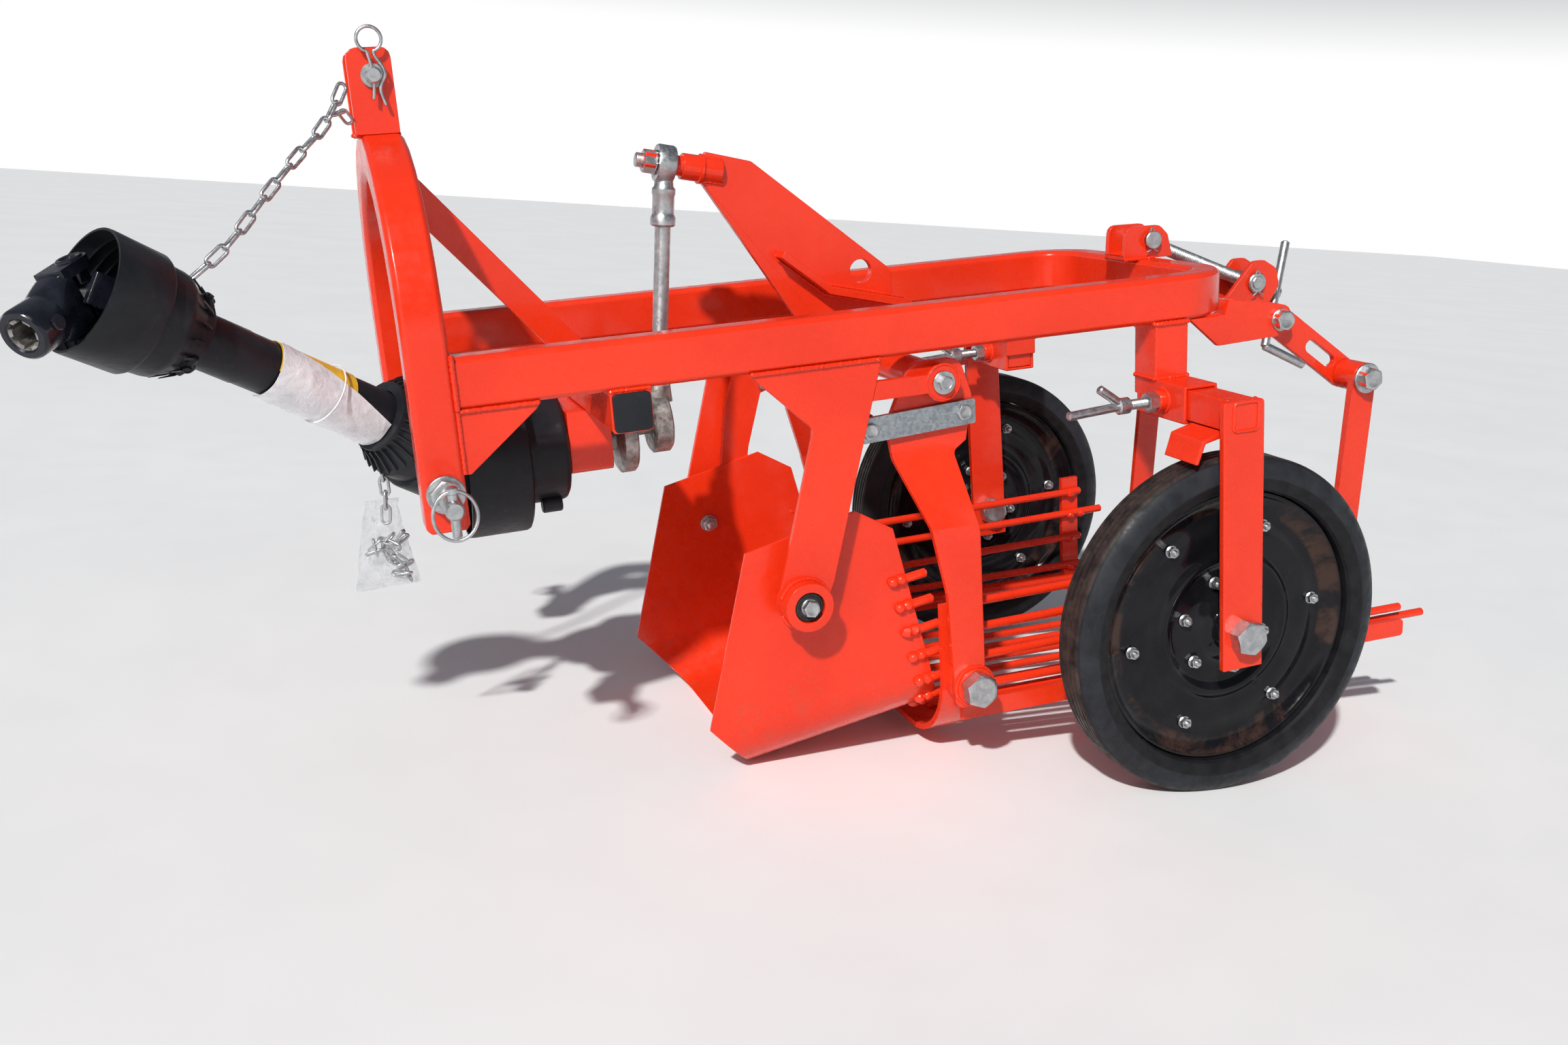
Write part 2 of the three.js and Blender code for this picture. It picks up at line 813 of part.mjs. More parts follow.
function rockerShaft() {
  const end = armUpperInner - seat;
  const tube = bar('y', rockerShaftRadius, -end, end, rockerCentre, 20);
  const stubs = bar('y', rockerStubRadius, -hangerFace - 1, hangerFace + 1, rockerCentre);
  const bolts = [-1, 1].map((side) => {
    const washer = bar('y', 15, side * hangerFace, side * (hangerFace + 3), rockerCentre);
    return join(washer, hexagon('y', 17, side * (hangerFace + 2), side * (hangerFace + 10), rockerCentre));
  });
  return join(tube, stubs, ...bolts);
}

const plateHalf = rockerPlateThickness / 2;

// Point on the axis of the stud in the rocker's tip, so far behind the rod's eye.
function onStud(along) {
  return [eyeX + along * Math.cos(studLean), 0, eyeZ - along * Math.sin(studLean)];
}

function rockerPlate() {
  const corners = [
    [545, 896],
    [606, 880, 10],
    [798, 722, 14],
    [808, 600],
    [rockerX, rockerZ - rockerShaftRadius - 12, 20],
    [702, 596],
    [610, 738],
    [536, 858],
  ];
  const web = plate('xz', outline(corners), -plateHalf, plateHalf, { holes: [[754, 723, 16, 20]] });
  const boss = rod(onStud(eyeWidth / 2 + 10), onStud(76), 17, 20);
  const stud = rod(onStud(-eyeWidth / 2 - 26), onStud(50), rodPinRadius, 16);
  const nut = rod(onStud(-eyeWidth / 2 - 17), onStud(-eyeWidth / 2 - seat), 27 / Math.sqrt(3), 6);
  const shoulder = rod(onStud(eyeWidth / 2 + seat), onStud(eyeWidth / 2 + 12), 13, 16);
  const stiffener = [
    [631, 754],
    [637, 762],
    [702, 709],
    [818, 679],
    [816, 669],
    [698, 699],
  ];
  const gussets = [-1, 1].map((side) => (
    plate('xz', outline(stiffener), ...across(side, plateHalf - weld, 32))
  ));
  const shaft = bar('y', rockerShaftRadius + seat, -80, 80, rockerCentre, 20);
  return cut(join(web, boss, shoulder, stud, nut, ...gussets), shaft);
}

// Sieve arm: a plate set outwards below the link, seen from the side and from behind.
function sieveArm(side) {
  const face = [
    [rockerX - 34, rockerZ + 26, 20],
    [rockerX + 34, rockerZ + 26, 20],
    [linkRearX + 17, linkRearZ + 20, 10],
    [808, 516],
    [789, 503, 8],
    [806, 400],
    [sieveBoltX + 17, 160, 12],
    [sieveBoltX - 27, 160, 12],
    [757, 321],
    [737, 415],
    [705, 500],
    [697, 548],
  ];
  const bend = [
    [armUpperFace, rockerZ + 40],
    [armUpperFace, 506],
    [armLowerFace, 412],
    [armLowerFace, 140],
    [armLowerInner, 140],
    [armLowerInner, 410],
    [armUpperInner, 504],
    [armUpperInner, rockerZ + 40],
  ].map(([y, z]) => [side * y, z]);
  const silhouette = plate('xz', outline(face), ...across(side, armUpperInner - 5, armLowerFace + 5));
  const strip = plate('yz', outline(bend), 650, 860);
  const blade = silhouette.intersect(strip);
  const upper = across(side, armUpperInner - 1, armUpperFace + 1);
  const sieveBolt = [sieveBoltX, sieveBoltZ];
  const hub = bar('y', rockerStubRadius + seat, ...upper, rockerCentre);
  const linkHole = bar('y', linkBoltRadius + running, ...upper, [linkRearX, linkRearZ]);
  const bush = bar('y', armBushRadius, ...across(side, armLowerInner, armBushFace), sieveBolt, 20);
  const boltRoom = sieveBoltRadius + running;
  const boltHole = bar('y', boltRoom, ...across(side, armLowerInner - 1, armBushFace + 1), sieveBolt);
  return cut(join(blade, bush), hub, linkHole, boltHole);
}

Object.entries(sides).forEach(([name, side]) => {
  add(`rocker_bearing_${name}`, rockerBearing(side), redPaint);
  add(`sieve_arm_${name}`, sieveArm(side), redPaint);
});
add('rocker_plate', rockerPlate(), redPaint);
add('rocker_shaft', rockerShaft(), redPaint);

// Rod end with its eye on the rocker's stud, the rod, and the big end with its crank pin.
function connectingRod() {
  const eye = rod(onStud(-eyeWidth / 2), onStud(eyeWidth / 2), eyeRadius, 20);
  const bore = rod(onStud(-eyeWidth), onStud(eyeWidth), rodPinRadius + running, 16);
  const bigEndZ = driveZ + crankThrow;
  const bigEndFront = bigEndX - bigEndWidth / 2;
  const bigEnd = bar('x', bigEndRadius, bigEndFront, bigEndX + bigEndWidth / 2, [0, bigEndZ], 24);
  const pin = bar('x', 14, bigEndFront - crankPinReach, bigEndX, [0, bigEndZ]);
  const foot = [bigEndX, 0, bigEndZ];
  const head = [eyeX, 0, eyeZ];
  const between = (part) => foot.map((value, i) => THREE.MathUtils.lerp(value, head[i], part));
  const shank = rod(between(0.1), between(0.93), rodRadius, 16);
  const neck = rod(between(0.1), between(0.22), 16, 16);
  const sleeve = rod(between(0.72), between(0.9), 15, 16);
  return join(cut(join(shank, sleeve, eye), bore), neck, bigEnd, pin);
}

add('connecting_rod', connectingRod(), zinc);

// Flat link with the bolts that turn in the sieve arm and in the share's lever.
function link(side) {
  const inner = armUpperFace + sideGap;
  const outer = inner + linkThickness;
  const half = linkHeight / 2;
  const end = 17;
  const corners = [
    [linkFrontX - end, linkFrontZ - half, 3],
    [linkRearX + end, linkRearZ - half, 3],
    [linkRearX + end, linkRearZ + half, 3],
    [linkFrontX - end, linkFrontZ + half, 3],
  ];
  const flat = plate('xz', outline(corners), ...across(side, inner, outer));
  const bolts = [[linkRearX, linkRearZ], [linkFrontX, linkFrontZ]].map((centre) => {
    const shank = bar('y', linkBoltRadius, side * (armUpperInner - 12), side * outer, centre, 16);
    const head = hexagon('y', 20, side * (outer - 0.5), side * (outer + 6), centre);
    const nut = hexagon('y', 21, side * (armUpperInner - sideGap), side * (armUpperInner - 11), centre);
    return join(shank, head, nut);
  });
  return join(flat, ...bolts);
}

Object.entries(sides).forEach(([name, side]) => add(`link_${name}`, link(side), zinc));

// ---- Sieve -----------------------------------------------------------------------

const rearHangerInner = rearHangerFace - rearHangerThickness;
const hoopInner = sieveHalfWidth;
const hoopOuter = hoopInner + hoopSheet;

// Fall of the sieve's floor at a place behind the front hoop.
function sag(x) {
  return sieveFall * (x - hoopX);
}

function hoop(x, width, sheet, top) {
  const floor = sieveFloorZ - sieveRodRadius - sag(x);
  const outer = troughSection(hoopInner + sheet, sieveCorner + sheet, floor - sheet, top);
  const inner = troughSection(hoopInner, sieveCorner, floor, top + 10);
  const from = x - width / 2;
  const to = x + width / 2;
  return cut(plate('yz', outer, from, to), plate('yz', inner, from - 1, to + 1));
}

function sieveRods() {
  const inset = sieveRodRadius - 1;
  const wall = hoopInner - inset;
  const floor = sieveFloorZ - 1;
  const places = [];
  sideRods.forEach(([z, rear, fall]) => {
    places.push([wall, z, rear, fall], [-wall, z, rear, fall]);
  });
  const bend = sieveCorner - inset;
  [0.3, 0.72].forEach((turn) => {
    const angle = (turn * Math.PI) / 2;
    const y = wall - bend + bend * Math.cos(angle);
    const z = floor + bend - bend * Math.sin(angle);
    places.push([y, z, sieveRear, 1], [-y, z, sieveRear, 1]);
  });
  for (let i = 0; i < floorRodCount; i += 1) {
    const y = floorRodPitch * (i - (floorRodCount - 1) / 2);
    places.push([y, floor, sieveRear, 1]);
  }
  return join(...places.map(([y, z, rear, fall]) => {
    const start = [sieveFront, y, z - fall * sag(sieveFront)];
    return rod(start, [rear, y, z - fall * sag(rear)], sieveRodRadius, 8);
  }));
}

// Strip low on each side that ties the hoops and carries the rear hanger's pivot.
function sieveRail(side) {
  const corners = [
    [hoopX, railBottom],
    [railRear, railBottom - sag(railRear)],
    [railRear, railBottom + railHeight - sag(railRear)],
    [rearPinX + 34, railBottom + railHeight - sag(rearPinX)],
    [rearPinX + 18, rearPinZ + 18, 14],
    [rearPinX - 18, rearPinZ + 18, 14],
    [rearPinX - 34, railBottom + railHeight - sag(rearPinX)],
    [hoopX, railBottom + railHeight],
  ];
  const flat = plate('xz', outline(corners), ...across(side, hoopInner - 0.5, hoopOuter));
  const pin = bar('y', 9, side * hoopInner, side * (rearHangerFace + 3), [rearPinX, rearPinZ], 16);
  const spacer = bar('y', 16, side * hoopInner, side * (rearHangerInner - sideGap), [rearPinX, rearPinZ]);
  const headEnds = across(side, rearHangerFace + sideGap, rearHangerFace + 14);
  const head = hexagon('y', 27, ...headEnds, [rearPinX, rearPinZ]);
  return join(flat, pin, spacer, head);
}

// Front pivot boss with the big bolt that the sieve arm turns on.
function sievePivot(side) {
  const centre = [sieveBoltX, sieveBoltZ];
  const boss = bar('y', 30, side * (hoopInner - 0.5), side * (armLowerInner - sideGap), centre, 20);
  const headFace = armBushFace + sideGap;
  const shank = bar('y', sieveBoltRadius, side * hoopInner, side * (headFace + 1), centre);
  const head = hexagon('y', 41, side * headFace, side * (headFace + 20), centre);
  return join(boss, shank, head);
}

function sieve() {
  return join(
    hoop(hoopX, hoopWidth, hoopSheet, hoopTop),
    hoop(midHoopX, 30, hoopSheet, midHoopTop),
    sieveRods(),
    sieveRail(-1),
    sieveRail(1),
    sievePivot(-1),
    sievePivot(1),
  );
}

add('sieve', sieve(), redPaint);

// ---- Rear hangers and their adjuster ---------------------------------------------

const leverPlateOuter = 216;
const leverPlateInner = 206;

function rearHanger(side) {
  const half = rearHangerWidth / 2;
  const lean = new THREE.Vector2(rearPinX - rearBushX, rearPinZ - rearBushZ).normalize();
  const normal = new THREE.Vector2(-lean.y, lean.x).multiplyScalar(half);
  const top = new THREE.Vector2(rearBushX, rearBushZ);
  const foot = new THREE.Vector2(rearPinX, rearPinZ).addScaledVector(lean, half);
  const corners = [
    top.clone().sub(normal),
    foot.clone().sub(normal),
    foot.clone().add(normal),
    top.clone().add(normal),
  ].map(({ x, y }, index) => [x, y, index === 1 || index === 2 ? half - 4 : 0]);
  const face = rearHangerFace;
  const flat = plate('xz', outline(corners), ...across(side, rearHangerInner, face));
  const bushInner = leverPlateOuter + sideGap;
  const topCentre = [rearBushX, rearBushZ];
  const bush = bar('y', rearBushRadius, side * bushInner, side * (face + 2), topCentre, 20);
  const topBore = bar('y', rearBoltRadius + running, ...across(side, bushInner - 1, face + 5), topCentre, 20);
  const footRange = across(side, rearHangerInner - 5, face + 5);
  const bore = bar('y', 9 + running, ...footRange, [rearPinX, rearPinZ], 16);
  return cut(join(flat, bush), topBore, bore);
}

// Slotted arms and trunnion ears on the pivot tube, with the bolts for the hangers.
function adjusterLever() {
  const pivot = bar('y', 17, -leverPlateInner - 1, leverPlateInner + 1, [adjusterX, adjusterZ], 16);
  const ear = [
    [adjusterX + 2, adjusterZ + 14],
    [adjusterX + 2, adjusterZ - 15],
    [trunnionX + 18, trunnionZ - 46, 16],
    [trunnionX + 44, trunnionZ - 8, 14],
    [trunnionX + 38, trunnionZ + 18, 12],
    [trunnionX + 16, trunnionZ + 32, 10],
    [trunnionX - 4, trunnionZ + 32, 10],
    [trunnionX - 52, trunnionZ - 20, 12],
  ];
  const direction = new THREE.Vector2(rearBushX - adjusterX, rearBushZ - adjusterZ).normalize();
  const half = leverWidth / 2;
  const stadium = (start, end, radius) => {
    const across90 = new THREE.Vector2(-direction.y, direction.x).multiplyScalar(radius);
    const a = new THREE.Vector2(adjusterX, adjusterZ).addScaledVector(direction, start - radius);
    const b = new THREE.Vector2(adjusterX, adjusterZ).addScaledVector(direction, end + radius);
    const corners = [
      a.clone().add(across90),
      b.clone().add(across90),
      b.clone().sub(across90),
      a.clone().sub(across90),
    ];
    return corners.map(({ x, y }) => [x, y, 0.98 * radius]);
  };
  const reach = Math.hypot(rearBushX - adjusterX, rearBushZ - adjusterZ);
  const boltRadius = 8;
  const parts = [pivot];
  Object.values(sides).forEach((side) => {
    const earHole = [[trunnionX, trunnionZ, trunnionRadius + running, 16]];
    parts.push(plate('xz', outline(ear), ...across(side, earInner, earInner + 8), { holes: earHole }));
    const armRange = across(side, leverPlateInner, leverPlateOuter);
    const arm = plate('xz', outline(stadium(0, reach, half)), ...armRange);
    const slotRange = across(side, leverPlateInner - 1, leverPlateOuter + 1);
    const slot = plate('xz', outline(stadium(0.5 * reach, 0.77 * reach, 9)), ...slotRange);
    parts.push(cut(arm, slot));
    const centre = [rearBushX, rearBushZ];
    const headFace = rearHangerFace + 2 + sideGap;
    parts.push(bar('y', rearBoltRadius, side * (leverPlateInner - 16), side * (headFace + 1), centre, 16));
    parts.push(hexagon('y', 30, side * (leverPlateInner - 12), side * (leverPlateInner + weld), centre));
    parts.push(bar('y', 20, side * headFace, side * (headFace + 4), centre, 24));
    parts.push(hexagon('y', 27, side * (headFace + 3), side * (headFace + 16), centre));
  });
  const pivotCentre = [adjusterX, adjusterZ];
  const boltRooms = Object.values(sides).map((side) => (
    bar('y', boltRadius + running, ...across(side, leverPlateInner - 30, leverPlateOuter + 1), pivotCentre)
  ));
  return cut(join(...parts), ...boltRooms);
}

// Side bracket under each rear corner of the frame, with the lever's pivot bolt.
function rearBracket(side) {
  const corners = [
    [frameRear - 87, beamBottom - seat],
    [frameRear - 41, adjusterZ - 25],
    [adjusterX + 6, adjusterZ - 22, 14],
    [adjusterX + 22, adjusterZ - 4, 12],
    [adjusterX + 12, adjusterZ + 18, 12],
    [adjusterX - 10, adjusterZ + 24],
    [frameRear - 25, beamBottom + 20],
    [frameRear - 31, beamBottom - seat],
  ];
  const inner = leverPlateOuter + sideGap;
  const web = plate('xz', outline(corners), ...across(side, inner, inner + 8));
  const centre = [adjusterX, adjusterZ];
  const bolt = bar('y', 8, side * (leverPlateInner - 22), side * (inner + 10), centre);
  const head = hexagon('y', 24, side * (inner + 7), side * (inner + 19), centre);
  return join(web, bolt, head);
}

function rearLug() {
  const half = clevisGap / 2;
  const corners = [
    [lugFront, beamTop + seat],
    [lugRear, beamTop + seat],
    [lugRear - 8, clevisPinZ + 6, 8],
    [lugRear - 22, clevisPinZ + 20, 12],
    [lugFront + 3, clevisPinZ + 21, 12],
  ];
  const holes = [[clevisPinX, clevisPinZ, 9 + running]];
  const ears = [-1, 1].map((side) => (
    plate('xz', outline(corners), ...across(side, half, half + 8), { holes })
  ));
  const base = box([lugFront, lugRear - 32], [-half - 8, half + 8], [beamTop + seat, beamTop + 7]);
  return join(base, ...ears);
}

// Threaded spindle with its front eye and cross pin, trunnion block and crank handle.
function adjusterSpindle() {
  const run = new THREE.Vector2(trunnionX - clevisPinX, trunnionZ - clevisPinZ);
  const ahead = run.clone().normalize();
  const tail = new THREE.Vector2(trunnionX, trunnionZ).addScaledVector(ahead, spindleTail);
  const screw = rod([clevisPinX, 0, clevisPinZ], [tail.x, 0, tail.y], spindleRadius, 16);
  const eye = bar('y', 16, -clevisGap / 2 + sideGap, clevisGap / 2 - sideGap, [clevisPinX, clevisPinZ]);
  const pin = bar('y', 9, -clevisGap / 2 - 18, clevisGap / 2 + 18, [clevisPinX, clevisPinZ], 20);
  const block = bar('y', 16, -earInner + sideGap, earInner - sideGap, [trunnionX, trunnionZ]);
  const trunnion = bar('y', trunnionRadius, -earInner - 16, earInner + 16, [trunnionX, trunnionZ], 20);
  const knee = [tail.x - 34, -30, tail.y - 76];
  const handle = [
    rod([tail.x + 34, 16, tail.y + 72], knee, 6, 12),
    rod(knee, [tail.x + 34, -34, tail.y - 112], 6, 12),
  ];
  return join(screw, eye, pin, block, trunnion, ...handle);
}

add('rear_lug', rearLug(), redPaint);
add('adjuster_spindle', adjusterSpindle(), zinc);
add('adjuster_lever', adjusterLever(), redPaint);
Object.entries(sides).forEach(([name, side]) => {
  add(`rear_bracket_${name}`, rearBracket(side), redPaint);
  add(`rear_hanger_${name}`, rearHanger(side), redPaint);
});

// ---- Wheel sockets and clamp screws ----------------------------------------------

const socketHalf = socketSize / 2;
const clampCentre = [clampY, armTubeZ];
const clampBoss = 12;

function wheelSocket(side) {
  const bore = armTubeSize / 2 + sliding;
  const x = [armTubeX - socketHalf, armTubeX + socketHalf];
  const z = [armTubeZ - socketHalf, armTubeZ + socketHalf];
  const sleeve = box(x, across(side, socketInner, socketOuter), z);
  const postWidth = across(side, frameHalfWidth - socketSize, frameHalfWidth);
  const post = box(x, postWidth, [armTubeZ, beamBottom - seat]);
  const boss = bar('x', 15, x[0] + weld, x[0] - clampBoss, [side * clampCentre[0], armTubeZ]);
  const channel = box(
    [armTubeX - bore, armTubeX + bore],
    across(side, socketInner - 1, socketOuter + 1),
    [armTubeZ - bore, armTubeZ + bore],
  );
  const thread = bar('x', 7 + running, x[0] - 20, armTubeX, [side * clampCentre[0], armTubeZ], 16);
  return cut(join(post, sleeve, boss), channel, thread);
}

// Clamp screw with a locknut and a V of two bars to turn it by.
function clampScrew(side) {
  const centre = [side * clampCentre[0], armTubeZ];
  const face = armTubeX - socketHalf;
  const tip = armTubeX - armTubeSize / 2 - seat;
  const bossFace = face - clampBoss;
  const tail = bossFace - 46;
  const screw = bar('x', 7, tip, tail, centre, 16);
  const nut = hexagon('x', 24, bossFace - seat, bossFace - 14, centre);
  const hub = bar('x', 11, tail + 6, tail - 12, centre, 16);
  const upper = rod([tail - 3, ...centre], [tail - 38, centre[0], armTubeZ + 26], 6, 12);
  const lower = rod([tail - 3, ...centre], [tail - 84, centre[0], armTubeZ - 4], 6, 12);
  return join(screw, nut, hub, upper, lower);
}

Object.entries(sides).forEach(([name, side]) => {
  add(`wheel_socket_${name}`, wheelSocket(side), redPaint);
  add(`clamp_screw_${name}`, clampScrew(side), zinc);
});

// ---- Wheels and their arms -------------------------------------------------------

// Arm, seen along Y from the wheel's side: tube into the socket, leg down to the axle.
function wheelArm(side, legInnerFace, wheelSide) {
  const half = armTubeSize / 2;
  const legOuterFace = legInnerFace + legPlateThickness;
  const tube = box(
    [armTubeX - half, armTubeX + half],
    across(side, socketInner, legOuterFace),
    [armTubeZ - half, armTubeZ + half],
  );
  const leg = [
    [axleX - legPlateWidth / 2, legPlateBottom],
    [axleX + legPlateWidth / 2, legPlateBottom],
    [armTubeX - legLean + legPlateWidth / 2, armTubeZ + half, 5],
    [armTubeX - legLean - legPlateWidth / 2, armTubeZ + half, 5],
  ];
  const holes = [[axleX, axleZ, axleRadius + running]];
  const blade = plate('xz', outline(leg), ...across(side, legInnerFace, legOuterFace), { holes });
  const wheelY = wheelSide < 0 ? nearWheelY : farWheelY;
  const top = armTubeZ - half;
  const scraper = [
    [armTubeX - 6, top + weld],
    [armTubeX - 8, top - 5],
    [armTubeX - 46, top - 13],
    [armTubeX - 56, top - 39],
    [armTubeX - 61, top - 38],
    [armTubeX - 51, top - 8],
    [armTubeX - 17, top + weld],
  ];
  const near = Math.min(wheelY - wheelWidth / 2, legInnerFace + weld);
  const far = Math.min(wheelY, legInnerFace) + wheelWidth / 2;
  const shoe = plate('xz', outline(scraper), ...across(side, near, far));
  return join(tube, blade, shoe);
}

// Axle bolt from the leg plate through the hub.
function axleBolt(side, legInnerFace, wheelY, outwards) {
  const centre = [axleX, axleZ];
  const legOuterFace = legInnerFace + legPlateThickness;
  const legFar = outwards ? legInnerFace : legOuterFace;
  const away = outwards ? 1 : -1;
  const hubFar = wheelY + away * (hubHalf + sideGap);
  const reach = legFar - away * seat;
  const head = hexagon('y', 41, side * reach, side * (reach - away * 20), centre);
  const shank = bar('y', axleRadius, side * (reach - away * 2), side * (hubFar + away * 14), centre);
  const collarStart = legFar + away * (legPlateThickness + seat);
  const collarEnd = wheelY - away * (hubHalf + sideGap);
  const collar = bar('y', 20, side * collarStart, side * collarEnd, centre);
  const nut = hexagon('y', 36, side * hubFar, side * (hubFar + away * 12), centre);
  return join(head, shank, collar, nut);
}

function tyre() {
  const half = wheelWidth / 2;
  const profile = [
    [wheelRadius, 20],
    [wheelRadius - 8, half - 2],
    [wheelRadius - 20, half],
    [rimRadius, half - 8],
    [rimRadius, -half + 8],
    [wheelRadius - 20, -half],
    [wheelRadius - 8, -half + 2],
    [wheelRadius, -20],
  ];
  return revolve('y', profile, [0, 0], wheelSides);
}

// Two pressed discs back to back on a hub, one solid with its bore open.
function wheelDisc() {
  const bore = axleRadius + running;
  const rim = rimRadius - seat;
  const profile = [
    [rim, -13],
    [rim, 13],
    [rim - 12, 17],
    [120, 6],
    [90, 9],
    [60, 9],
    [34, 16],
    [28, hubHalf],
    [bore, hubHalf],
    [bore, -hubHalf],
    [28, -hubHalf],
    [34, -16],
    [60, -9],
    [90, -9],
    [120, -6],
    [rim - 12, -17],
  ];
  return revolve('y', profile, [0, 0], wheelSides);
}

const wheels = {
  left: { side: -1, leg: nearLegFace - legPlateThickness, y: nearWheelY, outwards: false },
  right: { side: 1, leg: farLegFace, y: farWheelY, outwards: true },
};

Object.entries(wheels).forEach(([name, { side, leg, y, outwards }]) => {
  add(`wheel_arm_${name}`, wheelArm(side, leg, outwards ? 1 : -1), redPaint);
  add(`axle_bolt_${name}`, axleBolt(side, leg, y, outwards), zinc);
  add(`tyre_${name}`, tyre(), rubber).position.set(axleX, side * y, axleZ);
  add(`wheel_disc_${name}`, wheelDisc(), blackPaint).position.set(axleX, side * y, axleZ);
});

// ---- Drive shaft -----------------------------------------------------------------

// The shaft leans up, forwards and to the left from the joint on the input shaft; +Z
// runs along it and +X points up.
const driveLine = new THREE.Group();
driveLine.position.set(jointX, 0, driveZ);
driveLine.rotation.set(0, driveRise - Math.PI / 2, driveYaw, 'ZYX');
driveLine.updateMatrix();
machine.add(driveLine);

const frontJointZ = driveLength - 6;
const guardTubeEnd = driveLength - 112;
const guardTubeStart = 92;

function yoke(from, to, radius) {
  const away = Math.sign(to - from);
  const near = from - away * 20;
  const far = from + away * 34;
  const ear = [[-17, near], [17, near], [17, far], [-17, far]];
  const ears = [-1, 1].map((side) => plate('xz', outline(ear), ...across(side, 24, 36)));
  const palm = bar('z', 36, from + away * 24, from + away * 44, [0, 0], 20);
  return join(palm, bar('z', radius, from + away * 40, to, [0, 0], 16), ...ears);
}

function guardTube() {
  return bar('z', guardTubeRadius, guardTubeStart, guardTubeEnd, [0, 0], 16);
}

// Joint on the input shaft, up to the guard tube.
function rearJoint() {
  const cross = join(bar('y', 11, -36, 36, [0, 0], 16), bar('x', 11, -34, 34, [0, 0], 16));
  return join(cross, yoke(0, guardTubeStart - seat, 19));
}

// Outer yoke of the front joint: a splined hub behind a fork that holds the cross.
const forkInner = 24 + seat;
const forkOuter = 36;
const forkHalf = 17;

function frontYoke() {
  const bore = bar('z', splineRadius, 48, hubReach + 1, [0, 0], 16);
  const legs = [
    [-forkOuter, -16],
    [-forkInner, -16],
    [-forkInner, 22, 8],
    [forkInner, 22, 8],
    [forkInner, -16],
    [forkOuter, -16],
    [forkOuter, 46, 18],
    [-forkOuter, 46, 18],
  ];
  const tips = [
    [-forkHalf, -16, 14],
    [forkHalf, -16, 14],
    [forkHalf, 50],
    [-forkHalf, 50],
  ];
  const fork = plate('xz', outline(legs), -forkHalf, forkHalf);
  const rounding = plate('yz', outline(tips), -forkOuter - 1, forkOuter + 1);
  const hub = bar('z', hubRadius, 38, hubReach, [0, 0], 20);
  return cut(join(fork.intersect(rounding), hub), bore);
}

const rearConeRadius = 73;
const coneStep = 8;
const collarTaper = 22;
const rearConeBand = rearConeRadius - coneStep;

// Guard cone with a bell, a narrower band behind it and a collar on the guard tube.
function guardCone(rim, step, band, end, radius) {
  const wall = 3;
  const inner = (guardTubeRadius + seat) / Math.cos(Math.PI / guardSides);
  const away = Math.sign(rim - end);
  const profile = [
    [radius, rim],
    [radius, step],
    [radius - coneStep, step - 2 * away],
    [radius - coneStep, band],
    [guardCollarRadius, band - collarTaper * away],
    [guardCollarRadius, end],
    [inner, end],
    [inner, band - (collarTaper - 4) * away],
    [radius - coneStep - wall, band + 3 * away],
    [radius - coneStep - wall, step + 2 * away],
    [radius - wall, step + 5 * away],
    [radius - wall, rim],
  ];
  return revolve('z', profile, [0, 0], guardSides);
}

function documentSleeve() {
  const inner = guardTubeRadius + seat;
  const shell = ring('z', inner + 1.5, inner, sleeveStart, sleeveEnd, [0, 0], 16);
  return shell.intersect(box([-60, 60], [-60, 12], [sleeveStart - 5, sleeveEnd + 5]));
}

// Fork on the telescopic tube, with the front joint's cross.
function yokeInner() {
  const palm = bar('z', 34, frontJointZ - 62, frontJointZ - 46, [0, 0], 20);
  const neck = bar('z', 19, guardTubeEnd + seat, frontJointZ - 50, [0, 0], 16);
  const near = frontJointZ - 48;
  const far = frontJointZ + 16;
  const ear = [[-17, near], [17, near], [17, far], [-17, far]];
  const ears = [-1, 1].map((side) => plate('xz', outline(ear), ...across(side, 34 + running, 44)));
  const rim = bar('z', 44, frontJointZ - 56, frontJointZ - 44, [0, 0], 20);
  const level = bar('y', 11, -36, 36, [0, frontJointZ], 16);
  const tipX = 24 * Math.cos(yokeDroop);
  const tipZ = 24 * Math.sin(yokeDroop);
  const upright = rod([-tipX, 0, frontJointZ - tipZ], [tipX, 0, frontJointZ + tipZ], 11, 16);
  return join(palm, neck, rim, level, upright, ...ears);
}

add('pto_rear_joint', rearJoint(), blackPaint, driveLine);
add('pto_guard_tube', guardTube(), blackPlastic, driveLine);
const frontConeSteps = [63, 92, 124].map((back) => driveLength - back);
const frontCone = guardCone(driveLength, ...frontConeSteps, guardConeRadius);
add('pto_cone_front', frontCone, blackPlastic, driveLine);
add('pto_cone_rear', guardCone(32, 95, 124, 156, rearConeRadius), blackPlastic, driveLine);
add('document_sleeve', documentSleeve(), paper, driveLine);
const frontJoint = new THREE.Group();
frontJoint.position.set(0, 0, frontJointZ);
frontJoint.rotation.set(yokeSwing, -yokeDroop, 0, 'YXZ');
driveLine.add(frontJoint);
add('pto_front_yoke', frontYoke(), blackPaint, frontJoint);
add('pto_inner_yoke', yokeInner(), blackPaint, driveLine);

// ---- Chains ----------------------------------------------------------------------

// Plain round body of a chain along its route.
function chain(route, radius) {
  const path = new THREE.CatmullRomCurve3(route.map((point) => new THREE.Vector3(...point)));
  const section = new THREE.Shape(circlePoints(0, 0, radius, 8));
  return solid(new THREE.ExtrudeGeometry(section, { steps: 24, bevelEnabled: false, extrudePath: path }));
}

// Point so far along the drive shaft and so far above its axis.
function onDriveLine(along, above) {
  return new THREE.Vector3(above, 0, along).applyMatrix4(driveLine.matrix).toArray();
}

const chainFoot = onDriveLine(driveLength - 102, guardConeRadius - coneStep - chainRadius);
const chainHead = [mastFront - seat - 0.9 * chainRadius, -(mastInner + mastOuter) / 2, chainTopZ];

add('guard_chain', chain([chainFoot, ...guardChainRoute, chainHead], chainRadius), zinc);

